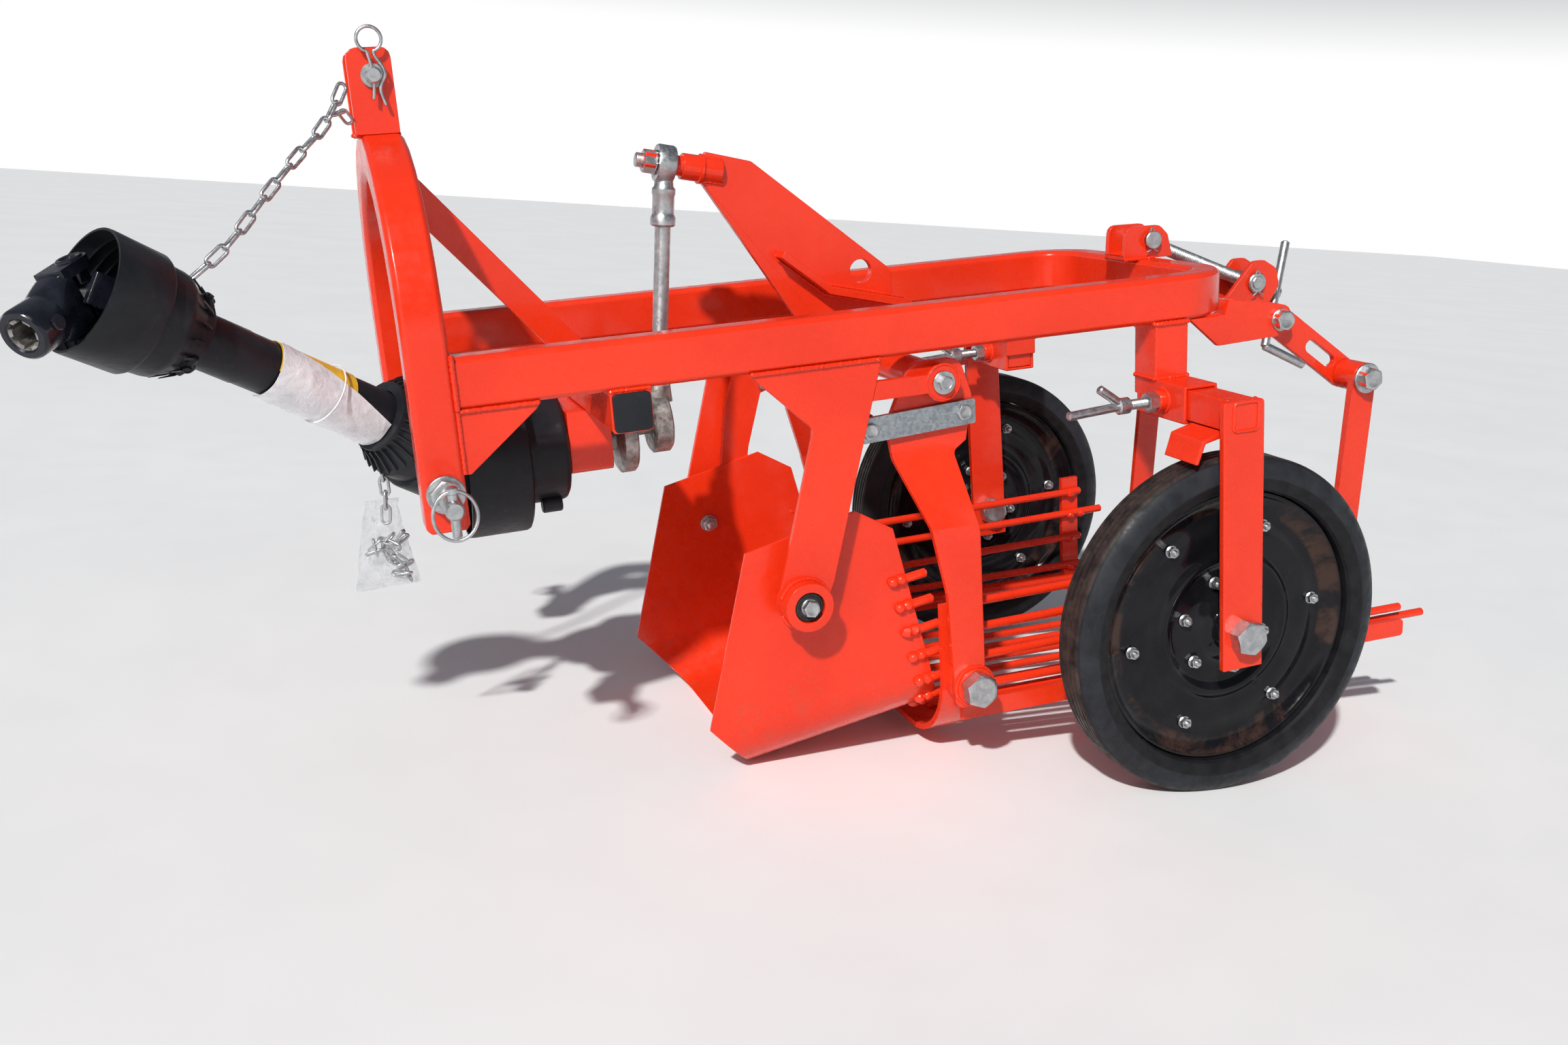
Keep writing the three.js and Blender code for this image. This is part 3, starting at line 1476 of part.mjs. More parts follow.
function chainBag() {
  const bag = [
    [-31, 0, 7],
    [-54, -104, 12],
    [31, -102, 12],
    [17, -2, 7],
  ].map(([x, z, radius]) => [bagX + x, bagTop + z, radius]);
  const pouch = plate('xz', outline(bag), bagY - bagThickness / 2, bagY + bagThickness / 2);
  const cone = bar('z', rearConeBand + seat, 70, 150, [0, 0], guardSides);
  const hook = bar('z', bagChainRadius, bagTop - 4, bagTop + 66, [bagX, bagY], 8);
  return join(pouch, cut(hook, cone.transform(driveLine.matrix.elements)));
}

add('chain_bag', chainBag(), clearBag);

// ---- Parked: down on the share's edge and the wheels ------------------------------

const toAxle = new THREE.Vector2(axleX - shareEdgeX, axleZ - shareEdgeZ);
const nose = Math.asin(wheelRadius / toAxle.length()) - toAxle.angle();
machine.rotation.y = -nose;

const parked = new THREE.Group();
parked.add(machine);
parked.updateMatrixWorld(true);
const extent = new THREE.Box3().setFromObject(parked, true);
machine.position.set(
  -(extent.min.x + extent.max.x) / 2,
  -(extent.min.y + extent.max.y) / 2,
  -extent.min.z,
);

export default parked;
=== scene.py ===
"""Looks for the mounted potato digger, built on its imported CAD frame."""
import json
import math
import random

import bmesh
import bpy
from mathutils import Matrix, Vector, noise


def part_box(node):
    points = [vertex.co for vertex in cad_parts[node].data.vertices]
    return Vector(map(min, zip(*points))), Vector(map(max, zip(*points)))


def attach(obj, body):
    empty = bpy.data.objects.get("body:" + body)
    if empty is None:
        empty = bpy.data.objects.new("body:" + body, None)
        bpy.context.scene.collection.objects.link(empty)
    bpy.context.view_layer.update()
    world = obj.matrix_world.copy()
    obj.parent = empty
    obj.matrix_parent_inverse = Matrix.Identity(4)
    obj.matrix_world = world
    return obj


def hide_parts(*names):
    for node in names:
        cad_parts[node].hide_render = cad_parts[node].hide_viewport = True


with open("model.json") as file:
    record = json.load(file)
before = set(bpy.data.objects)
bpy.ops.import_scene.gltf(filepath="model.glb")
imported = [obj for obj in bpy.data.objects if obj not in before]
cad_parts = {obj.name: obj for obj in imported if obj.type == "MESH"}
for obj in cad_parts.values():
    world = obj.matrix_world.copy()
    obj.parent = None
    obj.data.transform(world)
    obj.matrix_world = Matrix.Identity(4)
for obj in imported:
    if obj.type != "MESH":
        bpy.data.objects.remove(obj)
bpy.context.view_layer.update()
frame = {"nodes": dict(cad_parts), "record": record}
nodes = frame["nodes"]
record = frame["record"]
slots = {part["node"]: part["material_slot"] for part in record["subparts"]}
bodies = {}
for body_name, members in record["behaviour"]["bodies"].items():
    for member in members:
        bodies[member] = body_name

# ---- Where things are: millimetres in the level machine, as the CAD is drawn -------

MM = 0.001
WHEEL_RADIUS = 232
AXLE = Vector((1109, -338, 250))
SHARE_EDGE = Vector((500, 0, 101))
SIDES = {"left": -1, "right": 1}
WHEEL_Y = {"left": -338, "right": 364}

ROCKER = (767, 600)
SHARE_PIVOT = (564, 341)
LINK_REAR = (801, 555)
LINK_FRONT = (670, 547)
SIEVE_BOLT = (791, 189)
REAR_BUSH = (1400, 534)
REAR_PIN = (1366, 172)
ADJUSTER = (1281, 624)
TRUNNION = (1389, 647)
CLEVIS = (1204, 727)
ARM_TUBE = (1103, 541)
LOWER_PIN = (141, 549)
TOP_PIN = (139, 1010)
EYE = (490, 885)
BIG_END = (451, 549)
STUD_LEAN = math.radians(12)
DRIVE_JOINT = Vector((204, 0, 537))
DRIVE_RISE = math.radians(31)
DRIVE_YAW = math.radians(31)
DRIVE_LENGTH = 534
YOKE_DROOP = math.radians(49.5)
YOKE_SWING = math.radians(23.7)


def placing():
    """From the level machine in millimetres to the parked machine in metres."""
    drop = AXLE.z - SHARE_EDGE.z
    run = AXLE.x - SHARE_EDGE.x
    nose = math.asin(WHEEL_RADIUS / math.hypot(run, drop)) - math.atan2(drop, run)
    turn = Matrix.Rotation(-nose, 4, "Y")
    low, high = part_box("wheel_disc_left")
    centre = (Vector(low) + Vector(high)) / 2
    return Matrix.Translation(centre - turn @ (AXLE * MM)) @ turn @ Matrix.Scale(MM, 4)


PLACE = placing()
DRIVE = Matrix.Translation(DRIVE_JOINT) @ Matrix.Rotation(DRIVE_YAW, 4, "Z")
DRIVE = DRIVE @ Matrix.Rotation(DRIVE_RISE - math.pi / 2, 4, "Y")
YOKE = DRIVE @ Matrix.Translation((0, 0, DRIVE_LENGTH - 6)) @ Matrix.Rotation(-YOKE_DROOP, 4, "Y")
YOKE = YOKE @ Matrix.Rotation(YOKE_SWING, 4, "X")


def xz(point, y):
    """A point given as (x, z) in the machine's side view, at a place across it."""
    return Vector((point[0], y, point[1]))


# ---- Mesh tools -------------------------------------------------------------------


def basis(origin, axis, towards=None):
    z = Vector(axis).normalized()
    guide = Vector(towards) if towards else Vector((0, 0, 1))
    if abs(guide.normalized().dot(z)) > 0.95:
        guide = Vector((1, 0, 0))
    x = (guide - z * guide.dot(z)).normalized()
    matrix = Matrix((x, z.cross(x), z)).transposed().to_4x4()
    matrix.translation = Vector(origin)
    return matrix


def skin(bm, a, b):
    """Faces between two closed rings, either of which may be one point."""
    count = max(len(a), len(b))
    if count == 1:
        return
    for i in range(count):
        j = (i + 1) % count
        corners = [a[i % len(a)], a[j % len(a)], b[j % len(b)], b[i % len(b)]]
        unique = list(dict.fromkeys(corners))
        if len(unique) > 2:
            bm.faces.new(unique)


def cap(bm, ring):
    if len(ring) > 2:
        bm.faces.new(ring)


def loft(bm, rings, closed=False):
    made = [[bm.verts.new(point) for point in ring] for ring in rings]
    for a, b in zip(made, made[1:]):
        skin(bm, a, b)
    if closed:
        skin(bm, made[-1], made[0])
    else:
        cap(bm, made[0])
        cap(bm, made[-1])
    return made


def lathe(bm, profile, origin, axis, sides=64, closed=False, towards=None, waver=None):
    """Turns (radius, along) points about an axis; waver changes the radius by angle."""
    matrix = basis(origin, axis, towards)
    rings = []
    for radius, along in profile:
        if radius < 1e-6:
            rings.append([matrix @ Vector((0, 0, along))])
            continue
        ring = []
        for i in range(sides):
            angle = 2 * math.pi * i / sides
            reach = waver(radius, along, angle) if waver else radius
            ring.append(matrix @ Vector((reach * math.cos(angle), reach * math.sin(angle), along)))
        rings.append(ring)
    return loft(bm, rings, closed)


def smooth_profile(points, steps=4):
    """A Catmull-Rom curve through (radius, along) points."""
    out = []
    for i in range(len(points) - 1):
        p0 = points[max(i - 1, 0)]
        p1 = points[i]
        p2 = points[i + 1]
        p3 = points[min(i + 2, len(points) - 1)]
        for s in range(steps):
            t = s / steps
            out.append(tuple(spline(p0[k], p1[k], p2[k], p3[k], t) for k in range(len(p1))))
    out.append(points[-1])
    return out


def spline(a, b, c, d, t):
    t2 = t * t
    t3 = t2 * t
    return 0.5 * (2 * b + (c - a) * t + (2 * a - 5 * b + 4 * c - d) * t2 + (3 * b - a - 3 * c + d) * t3)


def curve(points, steps=8):
    return [Vector(p) for p in smooth_profile([tuple(p) for p in points], steps)]


def resample(points, spacing):
    """Points along a line at even spacing, ends included."""
    lengths = [0.0]
    for a, b in zip(points, points[1:]):
        lengths.append(lengths[-1] + (Vector(b) - Vector(a)).length)
    count = max(2, round(lengths[-1] / spacing) + 1)
    out = []
    k = 0
    for i in range(count):
        want = lengths[-1] * i / (count - 1)
        while k < len(lengths) - 2 and lengths[k + 1] < want:
            k += 1
        span = lengths[k + 1] - lengths[k]
        part = (want - lengths[k]) / span if span else 0
        out.append(Vector(points[k]).lerp(Vector(points[k + 1]), part))
    return out


def tube(bm, points, radius, sides=12, closed=False, rounded=False):
    """Round bar along points; the radius may be one for each point."""
    path = [Vector(p) for p in points]
    radii = list(radius) if hasattr(radius, "__len__") else [radius] * len(path)
    if rounded:
        start = (path[0] - path[1]).normalized()
        finish = (path[-1] - path[-2]).normalized()
        path = [path[0] + start * radii[0] * 0.3] + path + [path[-1] + finish * radii[-1] * 0.3]
        radii = [radii[0] * 0.62] + radii + [radii[-1] * 0.62]
    count = len(path)
    rings = []
    normal = None
    for i, point in enumerate(path):
        before = path[i - 1] if closed or i else point
        after = path[(i + 1) % count] if closed or i + 1 < count else point
        along = (after - before).normalized()
        normal = along.orthogonal() if normal is None else normal
        normal = (normal - along * normal.dot(along)).normalized()
        side = along.cross(normal)
        ring = []
        for k in range(sides):
            angle = 2 * math.pi * k / sides
            ring.append(point + (normal * math.cos(angle) + side * math.sin(angle)) * radii[i])
        rings.append(ring)
    return loft(bm, rings, closed)


PLANES = {
    "xz": lambda u, v, w: Vector((u, w, v)),
    "yz": lambda u, v, w: Vector((w, u, v)),
    "xy": lambda u, v, w: Vector((u, v, w)),
}


def prism(bm, points, plane, low, high):
    """Plate with an outline in a plane, from one coordinate to another across it."""
    put = PLANES[plane]
    return loft(bm, [[put(u, v, low) for u, v in points], [put(u, v, high) for u, v in points]])


def rounded(corners, step=0.2):
    """Outline with its corners rounded: each is (u, v) or (u, v, radius)."""
    out = []
    count = len(corners)
    for i, corner in enumerate(corners):
        here = Vector(corner[:2])
        radius = corner[2] if len(corner) > 2 else 0
        if not radius:
            out.append(tuple(here))
            continue
        back = (Vector(corners[i - 1][:2]) - here).normalized()
        ahead = (Vector(corners[(i + 1) % count][:2]) - here).normalized()
        half = math.acos(max(-1, min(1, back.dot(ahead)))) / 2
        inset = radius / math.tan(half)
        centre = here + (back + ahead).normalized() * radius / math.sin(half)
        start = here + back * inset - centre
        sweep = math.pi - 2 * half
        turn = 1 if back.x * ahead.y - back.y * ahead.x < 0 else -1
        steps = max(2, math.ceil(sweep / step))
        for k in range(steps + 1):
            angle = turn * sweep * k / steps
            out.append((
                centre.x + start.x * math.cos(angle) - start.y * math.sin(angle),
                centre.y + start.x * math.sin(angle) + start.y * math.cos(angle),
            ))
    return out


def arc(centre, axis, radius, start=0.0, end=360.0, spacing=3.0, towards=None):
    matrix = basis(centre, axis, towards)
    count = max(4, int(abs(end - start) / 360 * 2 * math.pi * radius / spacing))
    points = []
    for i in range(count + 1):
        angle = math.radians(start + (end - start) * i / count)
        points.append(matrix @ Vector((radius * math.cos(angle), radius * math.sin(angle), 0)))
    return points


def soften(bm, width, angle=30, segments=2):
    limit = math.radians(angle)
    edges = [e for e in bm.edges if len(e.link_faces) == 2 and e.calc_face_angle(0) > limit]
    bmesh.ops.bevel(
        bm, geom=edges, offset=width, segments=segments, profile=0.6, affect="EDGES", clamp_overlap=False
    )


def grow(bm, amount, scale, seed):
    """Pushes points along their normals by smooth noise."""
    bm.normal_update()
    for vert in bm.verts:
        vert.co += vert.normal * noise.noise(vert.co * scale + Vector((seed, 0, 0))) * amount


def finish_mesh(name, bm, material, body, slot, replaced=(), crease=38):
    bmesh.ops.recalc_face_normals(bm, faces=bm.faces)
    mesh = bpy.data.meshes.new(name)
    bm.to_mesh(mesh)
    bm.free()
    obj = bpy.data.objects.new(name, mesh)
    bpy.context.scene.collection.objects.link(obj)
    mesh.materials.append(material)
    mesh.shade_smooth()
    mesh.set_sharp_from_angle(angle=math.radians(crease))
    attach(obj, body)
    if replaced:
        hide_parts(*replaced)
    return obj


def piece(name, bm, slot, body="root", replaced=(), crease=38):
    """A new piece drawn in the level machine's millimetres."""
    bm.transform(PLACE)
    return finish_mesh(name, bm, MATERIALS[slot], body, SLOT_OF.get(slot, slot), replaced, crease)


def polish(node, width=0.9, segments=2, crease=38):
    """A CAD node's own shape with flat faces made whole and its edges rounded."""
    bm = bmesh.new()
    bm.from_mesh(nodes[node].data)
    bmesh.ops.remove_doubles(bm, verts=bm.verts, dist=1e-6)
    bmesh.ops.dissolve_limit(bm, angle_limit=math.radians(1.5), verts=bm.verts, edges=bm.edges)
    soften(bm, width * MM, 33, segments)
    slot = slots[node]
    obj = finish_mesh(node + "_finish", bm, MATERIALS[slot], bodies[node], slot, (node,), crease)
    obj.modifiers.new("normals", "WEIGHTED_NORMAL").keep_sharp = True
    return obj


# ---- Fastenings -------------------------------------------------------------------

HEX_SIDES = 48


def hex_head(bm, centre, axis, flats, height, hollow=0.0, turn=0.0):
    """Hexagon with the cone-shaped chamfer of a bolt head."""
    matrix = basis(centre, axis)
    crown = 0.47 * flats
    slope = math.tan(math.radians(30))

    def ring(level, chamfered):
        points = []
        for i in range(HEX_SIDES):
            angle = 2 * math.pi * i / HEX_SIDES
            within = (angle % (math.pi / 3)) - math.pi / 6
            reach = flats / 2 / math.cos(within)
            z = level - (reach - crown) * slope if chamfered else level
            spin = angle + turn
            points.append(matrix @ Vector((reach * math.cos(spin), reach * math.sin(spin), z)))
        return points

    def circle(radius, z):
        points = []
        for i in range(HEX_SIDES):
            spin = 2 * math.pi * i / HEX_SIDES + turn
            points.append(matrix @ Vector((radius * math.cos(spin), radius * math.sin(spin), z)))
        return points

    rings = [ring(0, False), ring(height, True), circle(crown, height), circle(crown * 0.8, height)]
    rings.append(circle(crown * 0.72, height - hollow))
    loft(bm, rings)


def disc(bm, centre, axis, radius, low, high, edge=0.6, sides=40):
    profile = [(radius - edge, low), (radius, low + edge), (radius, high - edge), (radius - edge, high)]
    lathe(bm, profile, centre, axis, sides)


def bolt(bm, centre, axis, flats, height, washer=0.0, thick=2.5, turn=0.3):
    start = Vector(centre)
    direction = Vector(axis).normalized()
    if washer:
        disc(bm, start, direction, washer, 0, thick, 0.5)
        start = start + direction * thick
    hex_head(bm, start, direction, flats, height, 0.5, turn)


def nut(bm, centre, axis, flats, height, stem, proud, washer=0.0):
    start = Vector(centre)
    direction = Vector(axis).normalized()
    if washer:
        disc(bm, start, direction, washer, 0, 2, 0.4)
        start = start + direction * 2
    hex_head(bm, start, direction, flats, height, 0.2, 0.15)
    threads(bm, start + direction * (height - 1), direction, stem, proud + 1)


def threads(bm, start, axis, radius, length, pitch=1.75):
    """Turned length with the grooves of a thread."""
    profile = [(radius * 0.6, 0), (radius - 0.2, 0.2)]
    along = 0.4
    while along < length - 1.2:
        profile += [(radius, along + 0.25 * pitch), (radius - 0.32 * pitch, along + 0.75 * pitch)]
        along += pitch
    profile += [(radius - 0.6, length - 0.6), (radius - 1.4, length)]
    lathe(bm, profile, start, axis, 24)


def bead(bm, points, radius, seed=0):
    """Weld bead with the ripples that it freezes in."""
    rng = random.Random(seed)
    path = resample(points, 1.9)
    radii = []
    for i in range(len(path)):
        radii.append(radius * (0.84 + 0.2 * abs(math.sin(i * 0.95)) + rng.uniform(-0.05, 0.05)))
        path[i] = path[i] + Vector([rng.uniform(-1, 1) for _ in range(3)]) * radius * 0.1
    tube(bm, path, radii, 8, rounded=True)


def blob(bm, centre, radius, seed=0, squash=(1, 1, 1)):
    """Small lump of weld."""
    made = bmesh.ops.create_icosphere(bm, subdivisions=2, radius=radius)
    for vert in made["verts"]:
        rough = 1 + 0.22 * noise.noise(vert.co * (1.4 / radius) + Vector((seed * 3.7, 0, 0)))
        vert.co = Vector([vert.co[k] * squash[k] * rough for k in range(3)]) + Vector(centre)


# ---- Materials --------------------------------------------------------------------


class Finish:
    """A material with short names for the nodes that it needs."""

    def __init__(self, name, roughness=0.4, metallic=0.0, coat=0.0, coat_roughness=0.1, shine=0.5):
        self.material = bpy.data.materials.new(name)
        self.material.use_nodes = True
        self.tree = self.material.node_tree
        self.shader = self.tree.nodes["Principled BSDF"]
        self.shader.inputs["Roughness"].default_value = roughness
        self.shader.inputs["Metallic"].default_value = metallic
        self.shader.inputs["Coat Weight"].default_value = coat
        self.shader.inputs["Coat Roughness"].default_value = coat_roughness
        self.shader.inputs["Specular IOR Level"].default_value = shine
        self.place = self.tree.nodes.new("ShaderNodeTexCoord").outputs["Object"]

    def node(self, kind, **values):
        made = self.tree.nodes.new(kind)
        for key, value in values.items():
            setattr(made, key, value)
        return made

    def link(self, source, target):
        self.tree.links.new(source, target)

    def stretched(self, scale):
        made = self.node("ShaderNodeMapping")
        made.inputs["Scale"].default_value = scale
        self.link(self.place, made.inputs["Vector"])
        return made.outputs["Vector"]

    def noise(self, scale, detail=4, rough=0.55, warp=0.0, vector=None):
        made = self.node("ShaderNodeTexNoise")
        made.inputs["Scale"].default_value = scale
        made.inputs["Detail"].default_value = detail
        made.inputs["Roughness"].default_value = rough
        made.inputs["Distortion"].default_value = warp
        self.link(vector or self.place, made.inputs["Vector"])
        return made.outputs["Fac"]

    def cells(self, scale, feature="F1"):
        made = self.node("ShaderNodeTexVoronoi", feature=feature)
        made.inputs["Scale"].default_value = scale
        self.link(self.place, made.inputs["Vector"])
        return made.outputs["Color"]

    def remap(self, value, low, high, start=0.0, end=1.0):
        made = self.node("ShaderNodeMapRange", interpolation_type="SMOOTHSTEP")
        made.inputs["From Min"].default_value = low
        made.inputs["From Max"].default_value = high
        made.inputs["To Min"].default_value = start
        made.inputs["To Max"].default_value = end
        self.link(value, made.inputs["Value"])
        return made.outputs["Result"]

    def times(self, a, b):
        made = self.node("ShaderNodeMath", operation="MULTIPLY")
        self.link(a, made.inputs[0])
        self.link(b, made.inputs[1])
        return made.outputs["Value"]

    def mix(self, share, a, b):
        made = self.node("ShaderNodeMix", data_type="RGBA")
        self.link(share, made.inputs[0])
        for socket, value in ((made.inputs[6], a), (made.inputs[7], b)):
            if isinstance(value, tuple):
                socket.default_value = (*value, 1)
            else:
                self.link(value, socket)
        return made.outputs[2]

    def colour(self, value):
        self.link(value, self.shader.inputs["Base Color"])

    def rough(self, value):
        self.link(value, self.shader.inputs["Roughness"])

    def bump(self, *layers):
        """Each layer is (height, strength, distance in metres)."""
        normal = None
        for height, strength, distance in layers:
            made = self.node("ShaderNodeBump")
            made.inputs["Strength"].default_value = strength
            made.inputs["Distance"].default_value = distance
            self.link(height, made.inputs["Height"])
            if normal:
                self.link(normal, made.inputs["Normal"])
            normal = made.outputs["Normal"]
        self.link(normal, self.shader.inputs["Normal"])

    def height(self):
        made = self.node("ShaderNodeSeparateXYZ")
        self.link(self.place, made.inputs["Vector"])
        return made.outputs["Z"]

    def from_axle(self):
        """Distance from the wheels' axis, the same for both."""
        centre = PLACE @ AXLE
        shift = self.node("ShaderNodeVectorMath", operation="SUBTRACT")
        shift.inputs[1].default_value = centre
        flat = self.node("ShaderNodeVectorMath", operation="MULTIPLY")
        flat.inputs[1].default_value = (1, 0, 1)
        length = self.node("ShaderNodeVectorMath", operation="LENGTH")
        self.link(self.place, shift.inputs[0])
        self.link(shift.outputs["Vector"], flat.inputs[0])
        self.link(flat.outputs["Vector"], length.inputs[0])
        return length.outputs["Value"]

    def band(self, value, low, high, soft):
        rise = self.remap(value, low - soft, low + soft)
        fall = self.remap(value, high - soft, high + soft, 1.0, 0.0)
        return self.times(rise, fall)


def red_paint():
    f = Finish("red_paint", 0.32, 0.0, 0.3, 0.08, 0.3)
    tone = f.remap(f.noise(5, 3), 0.35, 0.65)
    colour = f.mix(tone, (0.70, 0.027, 0.0055), (0.76, 0.034, 0.0075))
    grime = f.remap(f.noise(26, 6, 0.65, 0.4), 0.64, 0.84, 0, 0.16)
    colour = f.mix(grime, colour, (0.42, 0.022, 0.008))
    low = f.remap(f.height(), 0.02, 0.2, 1.0, 0.0)
    dust = f.times(low, f.remap(f.noise(48, 8, 0.7), 0.5, 0.72, 0, 0.45))
    colour = f.mix(dust, colour, (0.34, 0.09, 0.045))
    chips = f.remap(f.noise(170, 5, 0.6), 0.735, 0.75)
    colour = f.mix(chips, colour, (0.30, 0.07, 0.045))
    f.colour(colour)
    f.rough(f.remap(f.noise(60, 6, 0.6), 0.3, 0.75, 0.2, 0.42))
    f.bump((f.noise(420, 2), 0.05, 0.001), (f.noise(38, 3), 0.1, 0.002))
    return f.material


def zinc():
    f = Finish("zinc", 0.3, 1.0)
    tone = f.remap(f.noise(120, 6, 0.6), 0.3, 0.7)
    colour = f.mix(tone, (0.40, 0.415, 0.43), (0.58, 0.585, 0.59))
    stain = f.remap(f.noise(45, 5, 0.7, 0.5), 0.58, 0.75, 0, 0.6)
    colour = f.mix(stain, colour, (0.33, 0.31, 0.28))
    f.colour(colour)
    f.rough(f.remap(f.noise(260, 5, 0.6), 0.3, 0.7, 0.3, 0.5))
    f.bump((f.noise(900, 3), 0.12, 0.0005), (f.noise(140, 3), 0.1, 0.001))
    return f.material


def link_zinc():
    f = Finish("link_zinc", 0.4, 1.0)
    spangle = f.remap(f.cells(260), 0.2, 0.8)
    streak = f.remap(f.noise(1, 5, 0.6, 0.0, f.stretched((25, 900, 900))), 0.35, 0.65)
    colour = f.mix(spangle, (0.30, 0.335, 0.36), (0.37, 0.405, 0.43))
    colour = f.mix(f.times(streak, spangle), colour, (0.47, 0.50, 0.52))
    f.colour(colour)
    f.rough(f.remap(f.noise(90, 6, 0.7), 0.3, 0.7, 0.32, 0.58))
    f.bump((streak, 0.12, 0.0005), (f.noise(200, 4), 0.15, 0.001))
    return f.material


def cast_steel():
    f = Finish("cast_steel", 0.5, 0.85)
    tone = f.remap(f.noise(70, 6, 0.65), 0.35, 0.68)
    colour = f.mix(tone, (0.22, 0.205, 0.19), (0.47, 0.45, 0.43))
    rust = f.remap(f.noise(32, 6, 0.7, 0.6), 0.6, 0.75, 0, 0.55)
    colour = f.mix(rust, colour, (0.24, 0.11, 0.06))
    f.colour(colour)
    f.rough(f.remap(f.noise(150, 5), 0.3, 0.7, 0.34, 0.66))
    f.bump((f.noise(520, 4, 0.7), 0.35, 0.0008), (f.noise(90, 4), 0.3, 0.0016))
    return f.material


def guard_plastic():
    f = Finish("guard_plastic", 0.4, shine=0.22)
    tone = f.remap(f.noise(16, 4), 0.3, 0.7)
    colour = f.mix(tone, (0.009, 0.010, 0.013), (0.018, 0.019, 0.023))
    dust = f.remap(f.noise(75, 7, 0.7, 0.3), 0.56, 0.8, 0, 0.4)
    f.colour(f.mix(dust, colour, (0.055, 0.053, 0.052)))
    scuffs = f.noise(1, 4, 0.7, 0.2, f.stretched((60, 420, 60)))
    f.rough(f.remap(scuffs, 0.35, 0.7, 0.3, 0.5))
    f.bump((f.noise(650, 3), 0.1, 0.0005), (scuffs, 0.06, 0.0006))
    return f.material


def yoke_black():
    f = Finish("yoke_black", 0.2, 0.0, 0.3, 0.05, 0.25)
    tone = f.remap(f.noise(40, 5), 0.35, 0.7)
    f.colour(f.mix(tone, (0.006, 0.007, 0.012), (0.014, 0.016, 0.024)))
    f.rough(f.remap(f.noise(110, 5, 0.6), 0.3, 0.75, 0.12, 0.34))
    f.bump((f.noise(230, 4, 0.6), 0.22, 0.0012), (f.noise(55, 3), 0.2, 0.002))
    return f.material


def disc_black():
    f = Finish("disc_black", 0.16, 0.0, 0.14, 0.04, 0.14)
    away = f.from_axle()
    tone = f.remap(f.noise(24, 4), 0.3, 0.7)
    colour = f.mix(tone, (0.004, 0.004, 0.005), (0.008, 0.008, 0.010))
    # Brown patches in the rim's groove: partly dust, partly a painted reflection.
    patch = f.remap(f.noise(11, 7, 0.68, 0.5), 0.47, 0.6)
    groove = f.times(f.band(away, 0.157, 0.1815, 0.003), patch)
    colour = f.mix(groove, colour, (0.042, 0.022, 0.017))
    haze = f.times(f.remap(f.noise(60, 6, 0.7), 0.55, 0.8, 0, 0.2), f.remap(away, 0.04, 0.1))
    f.colour(f.mix(haze, colour, (0.03, 0.026, 0.025)))
    f.rough(f.remap(f.noise(85, 5, 0.65), 0.3, 0.75, 0.08, 0.24))
    f.bump((f.noise(300, 3), 0.04, 0.0008), (f.noise(18, 3), 0.15, 0.003))
    return f.material


def rubber():
    """Tyre: dark bead, a painted bluish-grey sheen in streaks on the side, brown dust on the ribs of the
    tread.
    """
    f = Finish("rubber", 0.55, shine=0.16)
    away = f.from_axle()
    tone = f.remap(f.noise(55, 5), 0.3, 0.7)
    colour = f.mix(tone, (0.007, 0.007, 0.008), (0.013, 0.013, 0.015))
    # Painted sheen: a bluish-grey band in streaks round the sidewall, where a reflection would lie.
    sheen_streaks = f.remap(f.noise(15, 7, 0.72, 0.8), 0.3, 0.7, 0.25, 1.0)
    side = f.times(f.band(away, 0.2045, 0.2285, 0.0012), sheen_streaks)
    colour = f.mix(side, colour, (0.026, 0.028, 0.034))
    tread = f.times(f.remap(away, 0.2288, 0.2305), f.remap(f.noise(34, 7, 0.7, 0.3), 0.36, 0.66, 0.1, 0.9))
    colour = f.mix(tread, colour, (0.055, 0.042, 0.036))
    specks = f.remap(f.noise(420, 3, 0.6), 0.74, 0.77, 0, 0.6)
    f.colour(f.mix(specks, colour, (0.12, 0.11, 0.10)))
    f.rough(f.remap(f.noise(70, 6, 0.65), 0.3, 0.7, 0.34, 0.62))
    f.bump((f.noise(500, 4), 0.15, 0.0006), (f.noise(60, 3), 0.08, 0.002))
    return f.material


def bush_rubber():
    f = Finish("bush_rubber", 0.5)
    tone = f.remap(f.noise(130, 5), 0.3, 0.7)
    f.colour(f.mix(tone, (0.010, 0.010, 0.011), (0.028, 0.028, 0.030)))
    f.rough(f.remap(f.noise(300, 4), 0.3, 0.7, 0.35, 0.65))
    f.bump((f.noise(700, 4), 0.3, 0.0006))
    return f.material


def sleeve_paper():
    f = Finish("sleeve_paper", 0.3, 0.0, 0.5, 0.12)
    tone = f.remap(f.noise(30, 4), 0.3, 0.7)
    colour = f.mix(tone, (0.66, 0.68, 0.71), (0.82, 0.83, 0.85))
    grey = f.remap(f.noise(95, 6, 0.7, 0.6), 0.55, 0.72, 0, 0.35)
    f.colour(f.mix(grey, colour, (0.42, 0.44, 0.47)))
    f.rough(f.remap(f.noise(120, 4), 0.3, 0.7, 0.2, 0.4))
    f.bump((f.noise(85, 4, 0.6, 1.2), 0.5, 0.002), (f.noise(400, 2), 0.1, 0.0005))
    return f.material


def label():
    f = Finish("label", 0.35, 0.0, 0.3, 0.15)
    tone = f.remap(f.noise(60, 5), 0.3, 0.7)
    colour = f.mix(tone, (0.80, 0.46, 0.010), (0.92, 0.60, 0.025))
    worn = f.remap(f.noise(140, 6, 0.7), 0.66, 0.76, 0, 0.8)
    f.colour(f.mix(worn, colour, (0.30, 0.20, 0.05)))
    f.rough(f.remap(f.noise(200, 4), 0.3, 0.7, 0.28, 0.5))
    f.bump((f.noise(260, 3), 0.12, 0.0005))
    return f.material


